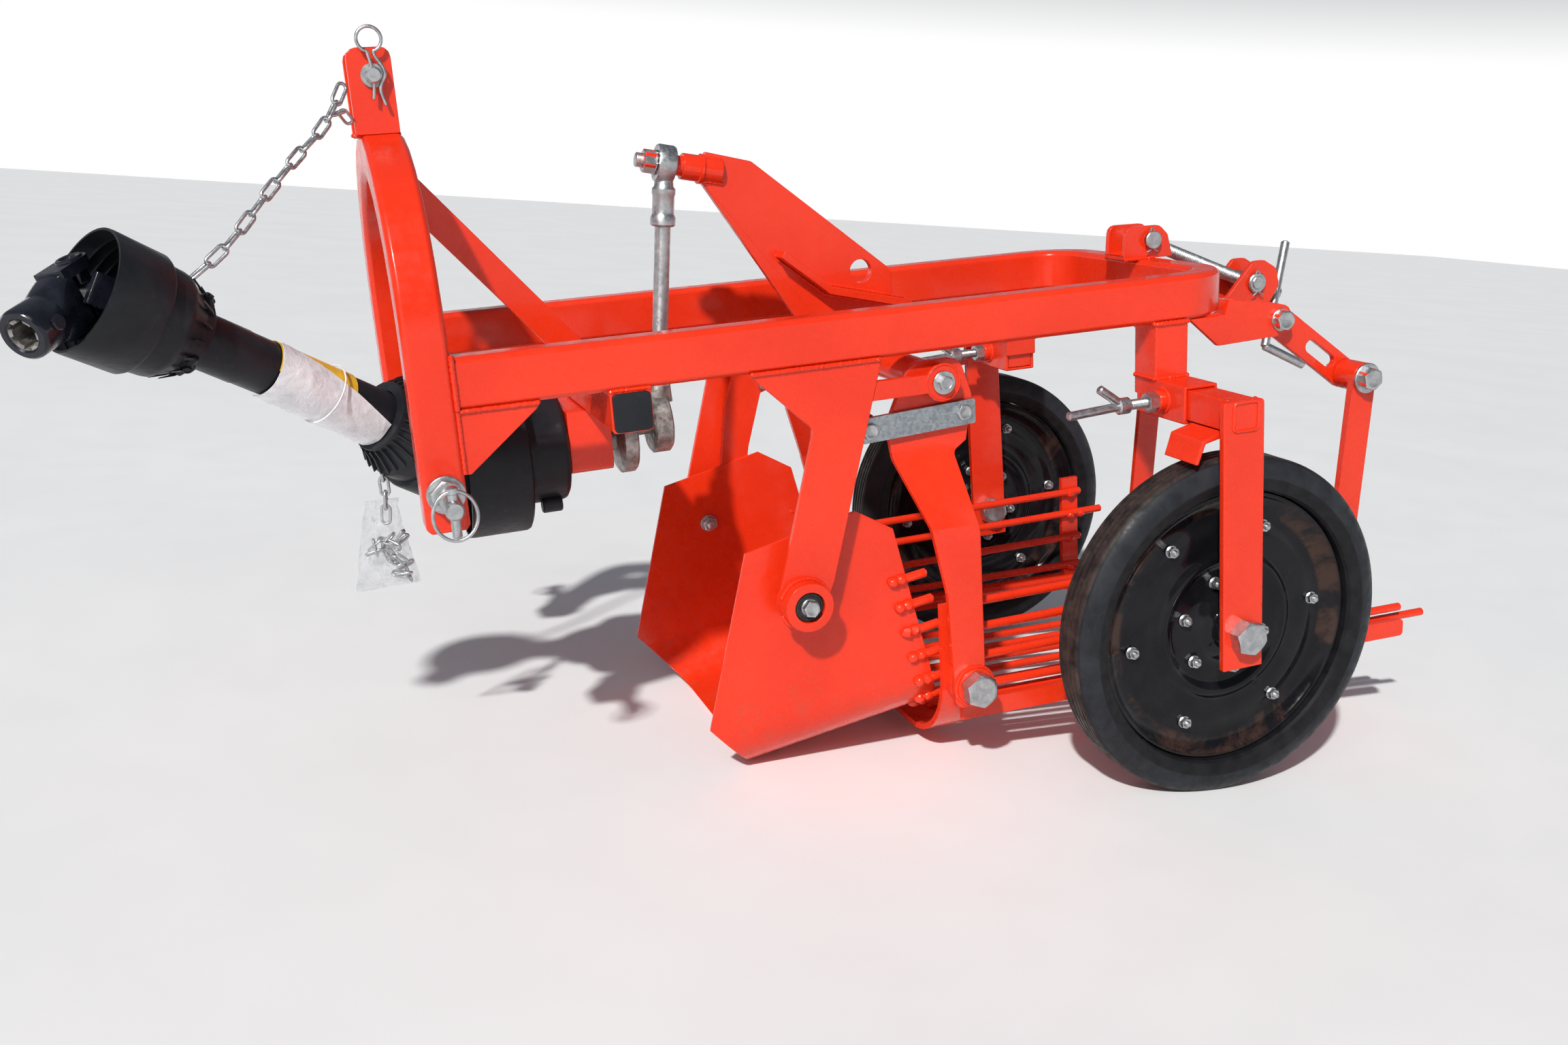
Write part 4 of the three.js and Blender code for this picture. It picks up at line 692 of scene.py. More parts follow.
def bag_plastic():
    f = Finish("bag_plastic", 0.16)
    tone = f.remap(f.noise(60, 4), 0.3, 0.7)
    f.colour(f.mix(tone, (0.44, 0.47, 0.50), (0.60, 0.62, 0.64)))
    crease = f.noise(48, 6, 0.62, 1.2)
    f.link(f.remap(crease, 0.42, 0.72, 0.14, 0.46), f.shader.inputs["Alpha"])
    f.rough(f.remap(f.noise(120, 4), 0.3, 0.7, 0.1, 0.26))
    f.bump((crease, 0.9, 0.004))
    return f.material


def floor_pale():
    f = Finish("floor_pale", 0.7)
    f.colour(f.mix(f.remap(f.noise(1.4, 3), 0.3, 0.7), (0.84, 0.845, 0.85), (0.87, 0.873, 0.876)))
    f.rough(f.remap(f.noise(9, 4), 0.3, 0.7, 0.62, 0.78))
    f.bump((f.noise(120, 3), 0.03, 0.001))
    return f.material


MATERIALS = {
    "red_paint": red_paint(),
    "zinc": zinc(),
    "link_zinc": link_zinc(),
    "cast_steel": cast_steel(),
    "guard_plastic": guard_plastic(),
    "yoke_black": yoke_black(),
    "disc_black": disc_black(),
    "rubber": rubber(),
    "bush_rubber": bush_rubber(),
    "sleeve_paper": sleeve_paper(),
    "label": label(),
    "bag_plastic": bag_plastic(),
}
SLOT_OF = {"link_zinc": "zinc", "bush_rubber": "rubber", "label": "sleeve_paper"}

# ---- Plates, tubes and beams that keep the CAD's own shape ------------------------

for polished, polished_width in {
    "main_frame": 2.2, "headstock_arch": 2.2, "front_cross_tube": 1.6, "headstock_brace": 1.0,
    "gusset_left": 1.0, "gusset_right": 1.0, "mast_plate_left": 1.0, "mast_plate_right": 1.0,
    "tube_cap_left": 1.2, "tube_cap_right": 1.2, "crank_housing": 1.4, "share": 0.9,
    "share_hanger_left": 1.0, "share_hanger_right": 1.0, "rocker_bearing_left": 0.9,
    "rocker_bearing_right": 0.9, "sieve_arm_left": 1.2, "sieve_arm_right": 1.2,
    "rocker_plate": 1.0, "rear_lug": 1.2, "adjuster_lever": 1.2, "rear_bracket_left": 1.0,
    "rear_bracket_right": 1.0, "rear_hanger_left": 1.2, "rear_hanger_right": 1.2,
    "wheel_socket_left": 2.2, "wheel_socket_right": 2.2, "wheel_arm_left": 1.8,
    "wheel_arm_right": 1.8, "pto_rear_joint": 1.6, "pto_inner_yoke": 1.8,
}.items():
    polish(polished, polished_width)

# ---- Wheels -----------------------------------------------------------------------


def tyre_profile():
    side = [(186.4, 24), (189, 28.5), (197, 31.6), (203, 33.5), (206, 34), (211, 33.4)]
    side += [(218.5, 31), (225.5, 27), (230.2, 22.6), (232, 19.6)]
    for groove in (14, 5):
        side += [(232, groove + 1.7), (229.4, groove + 1.1), (229.4, groove - 1.1), (232, groove - 1.7)]
    return side + [(radius, -along) for radius, along in reversed(side)]


def disc_profile():
    face = [(185.4, 11), (185.2, 14.5), (183.6, 16.6), (181, 16.4), (178.5, 13.6), (174, 9.4), (166, 5.4)]
    face += [(156, 3.8), (147, 4.2), (139, 6.2), (132, 7.6), (116, 7.8), (107, 6.6), (103, 7.4)]
    face += [(99.5, 11), (96, 12.6), (91, 12.6), (87, 10.6), (83.5, 7.2), (78, 6), (60, 6.2), (52, 7.4)]
    face += [(46, 11), (41, 15.6), (36, 18.4), (31, 20), (28.6, 22), (27.8, 25), (27.6, 34), (26, 36)]
    face += [(14, 36)]
    return face + [(radius, -along) for radius, along in reversed(face)]


def around(centre, axis, radius, count, phase):
    """Places and directions of bolts on a circle."""
    matrix = basis(centre, axis, (1, 0, 0))
    for i in range(count):
        angle = math.radians(phase + 360 * i / count)
        yield matrix @ Vector((radius * math.cos(angle), radius * math.sin(angle), 0))


def wheel(side):
    centre = Vector((AXLE.x, WHEEL_Y[side], AXLE.z))
    body = "wheel_" + side
    bm = bmesh.new()
    lathe(bm, tyre_profile(), centre, (0, 1, 0), 160, closed=True)
    piece("tyre_tread_" + side, bm, "rubber", body, ("tyre_" + side,), 30)
    bm = bmesh.new()
    lathe(bm, disc_profile(), centre, (0, 1, 0), 144, closed=True)
    piece("wheel_dish_" + side, bm, "disc_black", body, ("wheel_disc_" + side,), 50)
    bm = bmesh.new()
    for face in (-1, 1):
        axis = Vector((0, face, 0))
        for spot in around(centre + axis * 5.7, (0, -1, 0), 141, 6, 5.5):
            nut(bm, spot, axis, 13, 7, 4, 4.5, 8.5)
        for spot in around(centre + axis * 6.6, (0, -1, 0), 63, 6, 44):
            nut(bm, spot, axis, 13, 7, 4, 4.5, 8.5)
    piece("wheel_bolts_" + side, bm, "zinc", body)


def axle_bolt(side, head, collar, end):
    bm = bmesh.new()
    across = Vector((0, 1, 0))
    bolt(bm, xz((AXLE.x, AXLE.z), head), -across, 41, 20, 0, 0, 0.22)
    disc(bm, xz((AXLE.x, AXLE.z), head - 1), across, 13, 0, end - head + 1)
    disc(bm, xz((AXLE.x, AXLE.z), collar[0]), across, 20, 0, collar[1] - collar[0])
    nut(bm, xz((AXLE.x, AXLE.z), end), across, 36, 12, 12, 6)
    piece("axle_fixing_" + side, bm, "zinc", "wheel_arm_" + side, ("axle_bolt_" + side,))


for wheel_side in SIDES:
    wheel(wheel_side)
axle_bolt("left", -389.3, (-378.7, -375), -301)
axle_bolt("right", 312.7, (323.3, 327), 401)

# ---- Share pivots, rocker shaft, links --------------------------------------------


def share_pivot(side):
    sign = SIDES[side]
    out = Vector((0, sign, 0))
    bm = bmesh.new()
    profile = [(6.5, 206), (19.4, 206), (19.4, 245), (17.8, 246.6), (15.6, 247), (14.6, 245.4), (12, 245)]
    profile += [(11, 246.6), (6.5, 246.6)]
    lathe(bm, profile, xz(SHARE_PIVOT, 0), out, 56, closed=True)
    piece("share_bush_" + side, bm, "bush_rubber", "share", ("share_pivot_" + side,))
    bm = bmesh.new()
    bolt(bm, xz(SHARE_PIVOT, sign * 246.8), out, 19, 9, 11.5, 2)
    disc(bm, xz(SHARE_PIVOT, sign * 176), out, 6, 0, 71)
    nut(bm, xz(SHARE_PIVOT, sign * 191.7), -out, 19, 9, 6, 5, 13)
    piece("share_bolt_" + side, bm, "zinc", "share")


def rocker_shaft():
    bm = bmesh.new()
    lathe(bm, [(21, -195.7), (21, 195.7)], xz(ROCKER, 0), (0, 1, 0), 56)
    piece("rocker_tube", bm, "red_paint", "rocker", ("rocker_shaft",))
    bm = bmesh.new()
    for sign in SIDES.values():
        out = Vector((0, sign, 0))
        disc(bm, xz(ROCKER, sign * 195), out, 12, 0, 35)
        bolt(bm, xz(ROCKER, sign * 230), out, 17, 8, 15, 2.6)
    piece("rocker_bolts", bm, "zinc", "rocker")


def link(side):
    sign = SIDES[side]
    body = "link_" + side
    out = Vector((0, sign, 0))
    bm = bmesh.new()
    corners = [(653, 531, 3), (818, 539, 3), (818, 571, 3), (653, 563, 3)]
    prism(bm, rounded(corners), "xz", *sorted((sign * 207, sign * 214.5)))
    soften(bm, 0.8)
    piece("link_bar_" + side, bm, "link_zinc", body, (body,))
    bm = bmesh.new()
    for spot in (LINK_REAR, LINK_FRONT):
        bolt(bm, xz(spot, sign * 214.4), out, 19, 6.5, 0, 0, 0.5)
        disc(bm, xz(spot, sign * 184), out, 7, 0, 24)
        nut(bm, xz(spot, sign * 195), -out, 21, 10, 7, 2)
    piece("link_bolts_" + side, bm, "zinc", body)


rocker_shaft()
for link_side in SIDES:
    share_pivot(link_side)
    link(link_side)

# ---- Connecting rod, crank and shield ---------------------------------------------

STUD = Vector((math.cos(STUD_LEAN), 0, -math.sin(STUD_LEAN)))


def connecting_rod():
    foot = xz(BIG_END, 0)
    eye = xz(EYE, 0)
    up = (eye - foot).normalized()
    reach = (eye - foot).length
    bm = bmesh.new()
    stem = [(8, 36), (14, 38), (15.5, 41), (15.5, 66), (13, 74), (10.4, 80), (10.4, 258), (14.6, 259)]
    stem += [(16.4, 261), (16.6, 270), (15, 273), (14.3, 276), (14.3, 298), (15.4, 300), (15.4, 306)]
    stem += [(12.6, 310), (12, reach - 18)]
    lathe(bm, stem, foot, up, 40)
    ring = [(15.5, -11), (20, -12), (23, -11.4), (24, -9), (24, 9), (23, 11.4), (20, 12), (15.5, 11)]
    lathe(bm, ring, eye, STUD, 56, closed=True)
    ball = [(10, -13)]
    ball += [(15.2 * math.cos(a * 0.18), 15.2 * math.sin(a * 0.18)) for a in range(-5, 6)]
    ball += [(10, 13)]
    lathe(bm, ball, eye, STUD, 48)
    piece("rod_end", bm, "zinc", "connecting_rod", ("connecting_rod",), 32)
    bm = bmesh.new()
    head = [(12, -13), (37, -13), (40, -10.5), (40, 10.5), (37, 13), (26, 13), (24, 10.6), (12, 10.6)]
    lathe(bm, head, foot, (1, 0, 0), 72)
    lathe(bm, [(14, -36), (14, 0)], foot, (1, 0, 0), 36)
    tube(bm, [foot + up * 30, foot + up * 52], [19, 15.4], 32)
    grow(bm, 0.5, 0.09, 4)
    piece("rod_big_end", bm, "cast_steel", "connecting_rod")
    bm = bmesh.new()
    hex_head(bm, eye - STUD * 12.2, -STUD, 27.8, 17.2, 0.3, 0.4)
    threads(bm, eye - STUD * 28, -STUD, 9.4, 11)
    disc(bm, eye - STUD * 12.1, -STUD, 15.4, 0, 2.2)
    piece("rod_nut", bm, "zinc", "rocker")


def crank():
    bm = bmesh.new()
    centre = Vector((0, 0, DRIVE_JOINT.z))
    profile = [(17.5, 244), (17.5, 389), (44, 391), (49, 394), (49, 410), (46, 413), (20, 413), (18, 409)]
    profile += [(0, 409)]
    lathe(bm, profile, centre, (1, 0, 0), 72)
    grow(bm, 0.4, 0.08, 9)
    piece("crank_disc", bm, "cast_steel", "root", ("crank_shaft",))


def master_shield():
    bm = bmesh.new()
    centre = Vector((0, 0, DRIVE_JOINT.z))
    profile = [(101, 183), (105, 183), (105.6, 190), (105.6, 256), (104, 260), (99, 262.5), (78, 265)]
    profile += [(74, 267), (72.4, 271), (72.4, 309), (70.5, 314), (66, 317), (26, 317.6), (26, 313.8)]
    profile += [(64, 313), (68, 307), (68.4, 268), (74, 262), (97, 259), (101, 256)]
    lathe(bm, profile, centre, (1, 0, 0), 96, closed=True)
    for angle in (-118, -62):
        spot = centre + Vector((0, 78 * math.cos(math.radians(angle)), 78 * math.sin(math.radians(angle))))
        disc(bm, spot + Vector((278, 0, 0)), (1, 0, 0), 11, 0, 26, 1.5)
    piece("shield_bell", bm, "guard_plastic", "root", ("master_shield",))


connecting_rod()
crank()
master_shield()

# ---- Sieve ------------------------------------------------------------------------

HOOP_X = 785
HOOP_HALF = 211
SIEVE_CORNER = 102
ROD_RADIUS = 6
SIEVE_FLOOR = 100
SIEVE_FRONT = 796
SIEVE_REAR = 1585
SIEVE_FALL = 0.021
HOOPS = ((HOOP_X, 56, 300), (1207, 30, 315))


def sag(x):
    return SIEVE_FALL * (x - HOOP_X)


def u_section(half, corner, floor, top):
    return rounded([(-half, top), (-half, floor, corner), (half, floor, corner), (half, top)], 0.12)


def hoops(bm):
    for x, width, top in HOOPS:
        floor = SIEVE_FLOOR - ROD_RADIUS - sag(x)
        outer = u_section(HOOP_HALF + 8, SIEVE_CORNER + 8, floor - 8, top)
        inner = u_section(HOOP_HALF, SIEVE_CORNER, floor, top)
        prism(bm, outer + inner[::-1], "yz", x - width / 2, x + width / 2)


def rails(bm):
    x, z = REAR_PIN
    corners = [(HOOP_X, 130), (1530, 130 - sag(1530), 6), (1530, 156 - sag(1530), 6)]
    corners += [(x + 34, 156 - sag(x)), (x + 18, z + 18, 14), (x - 18, z + 18, 14)]
    corners += [(x - 34, 156 - sag(x)), (HOOP_X, 156)]
    for sign in SIDES.values():
        prism(bm, rounded(corners), "xz", *sorted((sign * 210.5, sign * 219)))
        disc(bm, xz(REAR_PIN, sign * 211), (0, sign, 0), 16, 0, 34)
        disc(bm, xz(SIEVE_BOLT, sign * 210.5), (0, sign, 0), 30, 0, 23.5)


def rod_places():
    """Each rod's two ends, as far in from the hoops as it is welded."""
    wall = HOOP_HALF - ROD_RADIUS + 1
    floor = SIEVE_FLOOR - 1
    bend = SIEVE_CORNER - ROD_RADIUS + 1
    places = []
    for z, rear, fall in ((172, 1531, 1), (213, 1222, 0), (255, 1262, 0), (292, 1222, 0)):
        places += [(wall, z, rear, fall), (-wall, z, rear, fall)]
    for turn in (0.3, 0.72):
        angle = turn * math.pi / 2
        y = wall - bend + bend * math.cos(angle)
        z = floor + bend - bend * math.sin(angle)
        places += [(y, z, SIEVE_REAR, 1), (-y, z, SIEVE_REAR, 1)]
    for i in range(7):
        places.append((42 * (i - 3), floor, SIEVE_REAR, 1))
    for y, z, rear, fall in places:
        yield Vector((SIEVE_FRONT, y, z - fall * sag(SIEVE_FRONT))), Vector((rear, y, z - fall * sag(rear)))


def sieve():
    bm = bmesh.new()
    hoops(bm)
    rails(bm)
    soften(bm, 1.2, 33)
    piece("sieve_hoops", bm, "red_paint", "sieve", ("sieve",))
    bm = bmesh.new()
    welds = bmesh.new()
    seed = 0
    for start, end in rod_places():
        tube(bm, resample([start, end], 60), ROD_RADIUS, 16, rounded=True)
        for x, width, _ in HOOPS:
            for edge in (x - width / 2 + 12, x + width / 2 + 1):
                if start.x < edge < end.x - 8:
                    part = (edge - start.x) / (end.x - start.x)
                    spot = start.lerp(end, part)
                    inward = Vector((0, -math.copysign(2, spot.y) if abs(spot.y) > 150 else 0, -3))
                    blob(welds, spot + inward, 7.2, seed, (1.1, 1, 0.9))
                    seed += 1
    piece("sieve_rods", bm, "red_paint", "sieve")
    for sign in SIDES.values():
        bead(welds, arc(xz(SIEVE_BOLT, sign * 220), (0, 1, 0), 31, 20, 200), 3, seed)
        bead(welds, arc(xz(REAR_PIN, sign * 220), (0, 1, 0), 17, 0, 360), 2.4, seed + 1)
    piece("sieve_welds", welds, "red_paint", "sieve")
    bm = bmesh.new()
    for sign in SIDES.values():
        out = Vector((0, sign, 0))
        bolt(bm, xz(SIEVE_BOLT, sign * 252), out, 41, 20, 0, 0, 0.1)
        disc(bm, xz(SIEVE_BOLT, sign * 216), out, 13, 0, 37)
        disc(bm, xz(REAR_PIN, sign * 216), out, 9, 0, 42)
        bolt(bm, xz(REAR_PIN, sign * 257), out, 27, 13, 0, 0, 0.35)
    piece("sieve_pivots", bm, "zinc", "sieve")


sieve()

# ---- Adjuster and clamp screws ----------------------------------------------------


def adjuster():
    start = xz(CLEVIS, 0)
    block = xz(TRUNNION, 0)
    ahead = (block - start).normalized()
    tail = block + ahead * 58
    bm = bmesh.new()
    threads(bm, start + ahead * 14, ahead, 9.8, (tail - start).length - 18, 3.2)
    disc(bm, start, (0, 1, 0), 16, -17, 17, 1.5)
    disc(bm, start, (0, 1, 0), 9, -34, 34, 1)
    disc(bm, start, (0, 1, 0), 13, -36.5, -32.5, 1)
    lathe(bm, [(12, 12), (14, 14), (14, 30), (9, 33)], start, ahead, 32)
    disc(bm, block, (0, 1, 0), 16, -19, 19, 1.5)
    disc(bm, block, (0, 1, 0), 10, -36, 36, 1)
    disc(bm, block, (0, 1, 0), 15, -34.5, -29, 1.4)
    disc(bm, tail, ahead, 12, -8, 9, 1.5)
    knee = Vector((tail.x - 34, -30, tail.z - 76))
    upper = Vector((tail.x + 34, 16, tail.z + 72))
    lower = Vector((tail.x + 34, -34, tail.z - 112))
    tube(bm, resample([upper, knee], 30), 6.8, 20, rounded=True)
    tube(bm, resample([knee, lower], 30), 6.8, 20, rounded=True)
    piece("adjuster_screw", bm, "zinc", "root", ("adjuster_spindle",))
    bm = bmesh.new()
    for centre, y, size in ((start, -31, 1), (block, -33.5, 1.1)):
        cotter(bm, centre + Vector((0, y, 0)), size)
    piece("cotter_wires", bm, "zinc", "root")


def cotter(bm, centre, size):
    """Split pin through a cross pin, its legs bent round it."""
    shape = [(0, 0, 17), (3, 0, 13.5), (1.2, 0, 9), (1.2, 0, -10), (3.5, -1, -14), (9, -1, -17)]
    for sign in (-1, 1):
        path = [centre + Vector((x * sign * size, y, z * size)) for x, y, z in shape]
        tube(bm, curve(path, 5), 1.1, 8, rounded=True)


def lever_bolts():
    bm = bmesh.new()
    for sign in SIDES.values():
        out = Vector((0, sign, 0))
        disc(bm, xz(REAR_BUSH, sign * 258.9), out, 21, 0, 4.4, 0.8)
        hex_head(bm, xz(REAR_BUSH, sign * 262.4), out, 27.8, 13.2, 0.5, 0.15)
        nut(bm, xz(REAR_BUSH, sign * 206.2), -out, 30.8, 13, 9.3, 4)
        bolt(bm, xz(ADJUSTER, sign * 225.1), out, 24.8, 11.2, 15.5, 1.6, 0.3)
    piece("lever_bolts", bm, "zinc", "root")


def clamp_screw(side):
    y = SIDES[side] * 247
    axis = Vector((-1, 0, 0))
    face = Vector((1066, y, ARM_TUBE[1]))
    tail = Vector((1020, y, ARM_TUBE[1]))
    bm = bmesh.new()
    disc(bm, Vector((1082.5, y, ARM_TUBE[1])), axis, 6.8, 0, 20)
    threads(bm, face, axis, 7, 44, 2)
    hex_head(bm, face, axis, 24, 14, 0.2, 0.1)
    disc(bm, tail, axis, 11, -6, 12, 2)
    tube(bm, [Vector((1017, y, 541)), Vector((1000, y, 554)), Vector((982, y, 567))], 6, 20, rounded=True)
    tube(bm, [Vector((1017, y, 541)), Vector((975, y, 539)), Vector((936, y, 537))], 6, 20, rounded=True)
    blob(bm, (1014, y, 543), 8.5, 3)
    piece("clamp_handle_" + side, bm, "zinc", "root", ("clamp_screw_" + side,))


adjuster()
lever_bolts()
for clamp_side in SIDES:
    clamp_screw(clamp_side)

# ---- Hitch pins -------------------------------------------------------------------


def lower_pin(side):
    sign = SIDES[side]
    out = Vector((0, sign, 0))
    bm = bmesh.new()
    disc(bm, xz(LOWER_PIN, sign * 233.3), out, 22, 0, 8, 1.2)
    hex_head(bm, xz(LOWER_PIN, sign * 241), out, 34, 12.5, 0.2, 0.2)
    shaft = [(9.5, 0), (11, 1.5), (11, 104), (8.5, 108)]
    lathe(bm, shaft, xz(LOWER_PIN, sign * 213), out, 40)
    hex_head(bm, xz(LOWER_PIN, sign * 182.7), -out, 34, 16, 0.2, 0.2)
    disc(bm, xz(LOWER_PIN, sign * 183), -out, 10.5, 0, 20)
    peg = xz(LOWER_PIN, sign * 309)
    lathe(bm, [(3, -34), (5.4, -31), (5.4, 17), (6.6, 18), (6.6, 24), (4, 26)], peg, (0, 0, 1), 24)
    swing = peg + Vector((0, sign * 3, 21))
    ring = []
    for i in range(40):
        angle = 2 * math.pi * i / 40
        fall = 1 - math.cos(angle)
        ring.append(swing + Vector((24 * math.sin(angle), sign * 3 * fall, -27 * fall)))
    tube(bm, ring, 2.1, 12, closed=True)
    piece("hitch_pin_" + side, bm, "zinc", "root", ("lower_link_pin_" + side,))


def top_pin():
    bm = bmesh.new()
    lathe(bm, [(7.5, -52), (9.5, -50), (9.5, 38), (9.5, 44)], xz(TOP_PIN, 0), (0, 1, 0), 40)
    disc(bm, xz(TOP_PIN, 36.3), (0, 1, 0), 15, 0, 7, 1)
    disc(bm, xz(TOP_PIN, -39.5), (0, 1, 0), 14, 0, 3, 0.5)
    y = -45.5
    x, z = TOP_PIN
    turns = [i * 0.25 for i in range(1, 25)]
    loop = [Vector((x + 14 * math.sin(a), y, z + 40 - 14 * math.cos(a))) for a in turns]
    left = ((5, 20), (11, 10), (13, 0), (8, -9), (6, -18), (10, -34))
    left = [Vector((x + dx, y, z + dz)) for dx, dz in left]
    right = ((-3, 22), (-1, 12), (0, 0), (-1, -14), (-3, -27))
    right = [Vector((x + dx, y, z + dz)) for dx, dz in right]
    tube(bm, curve(left[::-1] + loop + right, 4), 2.0, 12, rounded=True)
    piece("top_pin", bm, "zinc", "root", ("top_link_pin",))


for pin_side in SIDES:
    lower_pin(pin_side)
top_pin()

# ---- Drive shaft with its guards --------------------------------------------------

GUARD_RADIUS = 31.5


def drive_piece(name, bm, slot, replaced=(), crease=38):
    bm.transform(DRIVE)
    return piece(name, bm, slot, "root", replaced, crease)


def guard_tube():
    bm = bmesh.new()
    profile = [(26, 92), (31.5, 92), (31.5, 150), (30.9, 152)]
    profile += [(30.9, 350), (31.5, 352), (31.5, 422), (26, 422)]
    lathe(bm, profile, (0, 0, 0), (0, 0, 1), 80)
    drive_piece("guard_tube", bm, "guard_plastic", ("pto_guard_tube",))


def guard_cone(name, node, rim, radius, away):
    """Bell with its step, the band behind it and a taper down to the collar."""
    step, band, end = (rim - away * back for back in (63, 92, 124))
    outside = [(radius, rim), (radius + 0.5, rim - 4 * away), (radius - 0.4, step + 3 * away)]
    outside += [(radius - 2, step), (radius - 7, step - 2 * away), (radius - 8.2, band + 6 * away)]
    outside += [(radius - 9.4, band), (radius - 13, band - 4 * away), (47.5, band - 18 * away)]
    outside += [(44.4, band - 23 * away), (44.2, end + away), (43.4, end), (32, end)]
    inside = [(32, band - 18 * away), (radius - 12.5, band + 3 * away), (radius - 11, step + 2 * away)]
    for back in (52, 40, 28, 16):
        inside += [(radius - 3, rim - (back + 5) * away), (radius - 4.4, rim - (back + 2.5) * away)]
        inside += [(radius - 3, rim - back * away)]
    inside += [(radius - 2.6, rim)]
    bm = bmesh.new()
    lathe(bm, outside + inside, (0, 0, 0), (0, 0, 1), 112, closed=True)
    drive_piece(name, bm, "guard_plastic", (node,))


def fin(bm, outline, angle, half):
    """Thin upright rib through (radius, along) points."""
    out = Vector((math.cos(angle), math.sin(angle), 0))
    across = Vector((-out.y, out.x, 0))
    sides = []
    for shift in (-half, half):
        sides.append([out * radius + across * shift + Vector((0, 0, along)) for radius, along in outline])
    loft(bm, sides)


def collars():
    """Grip ribs on the rear cone's taper, lugs and screws round the front collar."""
    bm = bmesh.new()
    for i in range(28):
        rib = [(62, 126), (66, 127), (52, 143), (47, 152), (43.5, 152), (46, 142)]
        fin(bm, rib, 2 * math.pi * i / 28, 1.3)
    soften(bm, 0.4)
    drive_piece("collar_ribs", bm, "guard_plastic")
    bm = bmesh.new()
    for angle in (-142, -28, 100):
        turn = math.radians(angle)
        out = Vector((math.cos(turn), math.sin(turn), 0))
        spot = out * 44 + Vector((0, 0, DRIVE_LENGTH - 116))
        disc(bm, spot, out, 8.5, -3, 4.5, 1.2)
        hex_head(bm, spot + out * 4.4, out, 9, 3.4, 0.8)
        across = Vector((-out.y, out.x, 0))
        tube(bm, [spot - across * 15, spot, spot + across * 15], [4, 6.5, 4], 14, rounded=True)
    for i in range(16):
        angle = 2 * math.pi * (i + 0.5) / 16
        fin(bm, [(50, 424), (56, 433), (58, 434), (49, 418), (43.6, 412), (43.6, 420)], angle, 1.6)
    drive_piece("collar_lugs", bm, "guard_plastic")


def spline_wave(radius, _along, angle):
    """Six teeth in the hub's bore."""
    if radius > 15.8:
        return radius
    part = (angle * 6 / (2 * math.pi)) % 1
    return radius - 2.9 if part < 0.5 else radius


def shoulder_ring(part):
    """From the fork's flat base to the round hub."""
    wide = 36 - 10 * part ** 1.4
    deep = 17 + 9 * part ** 0.8
    power = 2 / (4 - 2 * part)
    ring = []
    for i in range(64):
        angle = 2 * math.pi * i / 64
        c, s = math.cos(angle), math.sin(angle)
        x = wide * math.copysign(abs(c) ** power, c)
        y = deep * math.copysign(abs(s) ** power, s)
        ring.append(Vector((x, y, 24 + 40 * part)))
    return ring


def front_yoke():
    bm = bmesh.new()
    hub = [(16.2, 62), (16.2, 98), (18.2, 100), (23.4, 100), (25.4, 98)]
    hub += [(26, 95), (26, 64), (24, 60), (18, 60)]
    lathe(bm, hub, (0, 0, 0), (0, 0, 1), 96, closed=True)
    loft(bm, [shoulder_ring(i / 14) for i in range(15)])
    disc(bm, Vector((0, 0, 78)), (0, -1, 0), 8, 24, 29, 1.2)
    bm.transform(YOKE)
    piece("yoke_hub", bm, "yoke_black", "root", ("pto_front_yoke",), 34)
    bm = bmesh.new()
    ear = rounded([(-17, -16, 15), (17, -16, 15), (17, 36, 3), (-17, 36, 3)], 0.12)
    for sign in (-1, 1):
        prism(bm, ear, "yz", *sorted((sign * 24.3, sign * 36)))
    soften(bm, 3.2, 30, 4)
    cap_shape = [(0, 0.4), (8.4, 0.4), (9, 2), (12, 2.4), (13.4, 1.6), (14, -1)]
    for sign in (-1, 1):
        lathe(bm, cap_shape, (sign * 36, 0, 0), (sign, 0, 0), 40)
    bm.transform(YOKE)
    piece("yoke_fork", bm, "yoke_black", "root", (), 34)
    bm = bmesh.new()
    bore = [(16.1, 58), (15.6, 58), (15.6, 97), (16.1, 98.4)]
    lathe(bm, bore, (0, 0, 0), (0, 0, 1), 192, closed=True, waver=spline_wave)
    disc(bm, Vector((0, 0, 58)), (0, 0, 1), 16, -2, 0.5, 0.2)
    bm.transform(YOKE)
    piece("yoke_splines", bm, "cast_steel", "root", (), 34)


def wrap(bm, radius, span, limits, wrinkle=0.0, thick=0.6, hang=0.0, rows=40, columns=48):
    """Sheet laid round the guard tube between two angles that may change along it."""
    grid = []
    for i in range(rows + 1):
        part = i / rows
        low, high = limits(part)
        row = []
        for j in range(columns + 1):
            angle = math.radians(low + (high - low) * j / columns)
            along = span[0] + (span[1] - span[0]) * part
            lift = wrinkle * noise.noise(Vector((along * 0.03, angle * 1.6, 2)))
            lift += wrinkle * 0.4 * noise.noise(Vector((along * 0.11, angle * 4, 7)))
            edge = abs(2 * j / columns - 1) ** 8
            sag = hang * (1 - part) ** 0.7 * (1 - j / columns) ** 1.5
            reach = radius + max(0, lift) + wrinkle * 0.5 * edge + sag
            row.append(bm.verts.new((reach * math.cos(angle), reach * math.sin(angle), along)))
        grid.append(row)
    for a, b in zip(grid, grid[1:]):
        for j in range(columns):
            bm.faces.new((a[j], a[j + 1], b[j + 1], b[j]))
    bmesh.ops.recalc_face_normals(bm, faces=bm.faces)
    bmesh.ops.solidify(bm, geom=bm.faces, thickness=thick)


def sleeve_limits(part):
    """Angles of the sleeve's edges, from its rear end to its wider front."""
    return -192, -106 + 80 * min(1, part * 1.12)


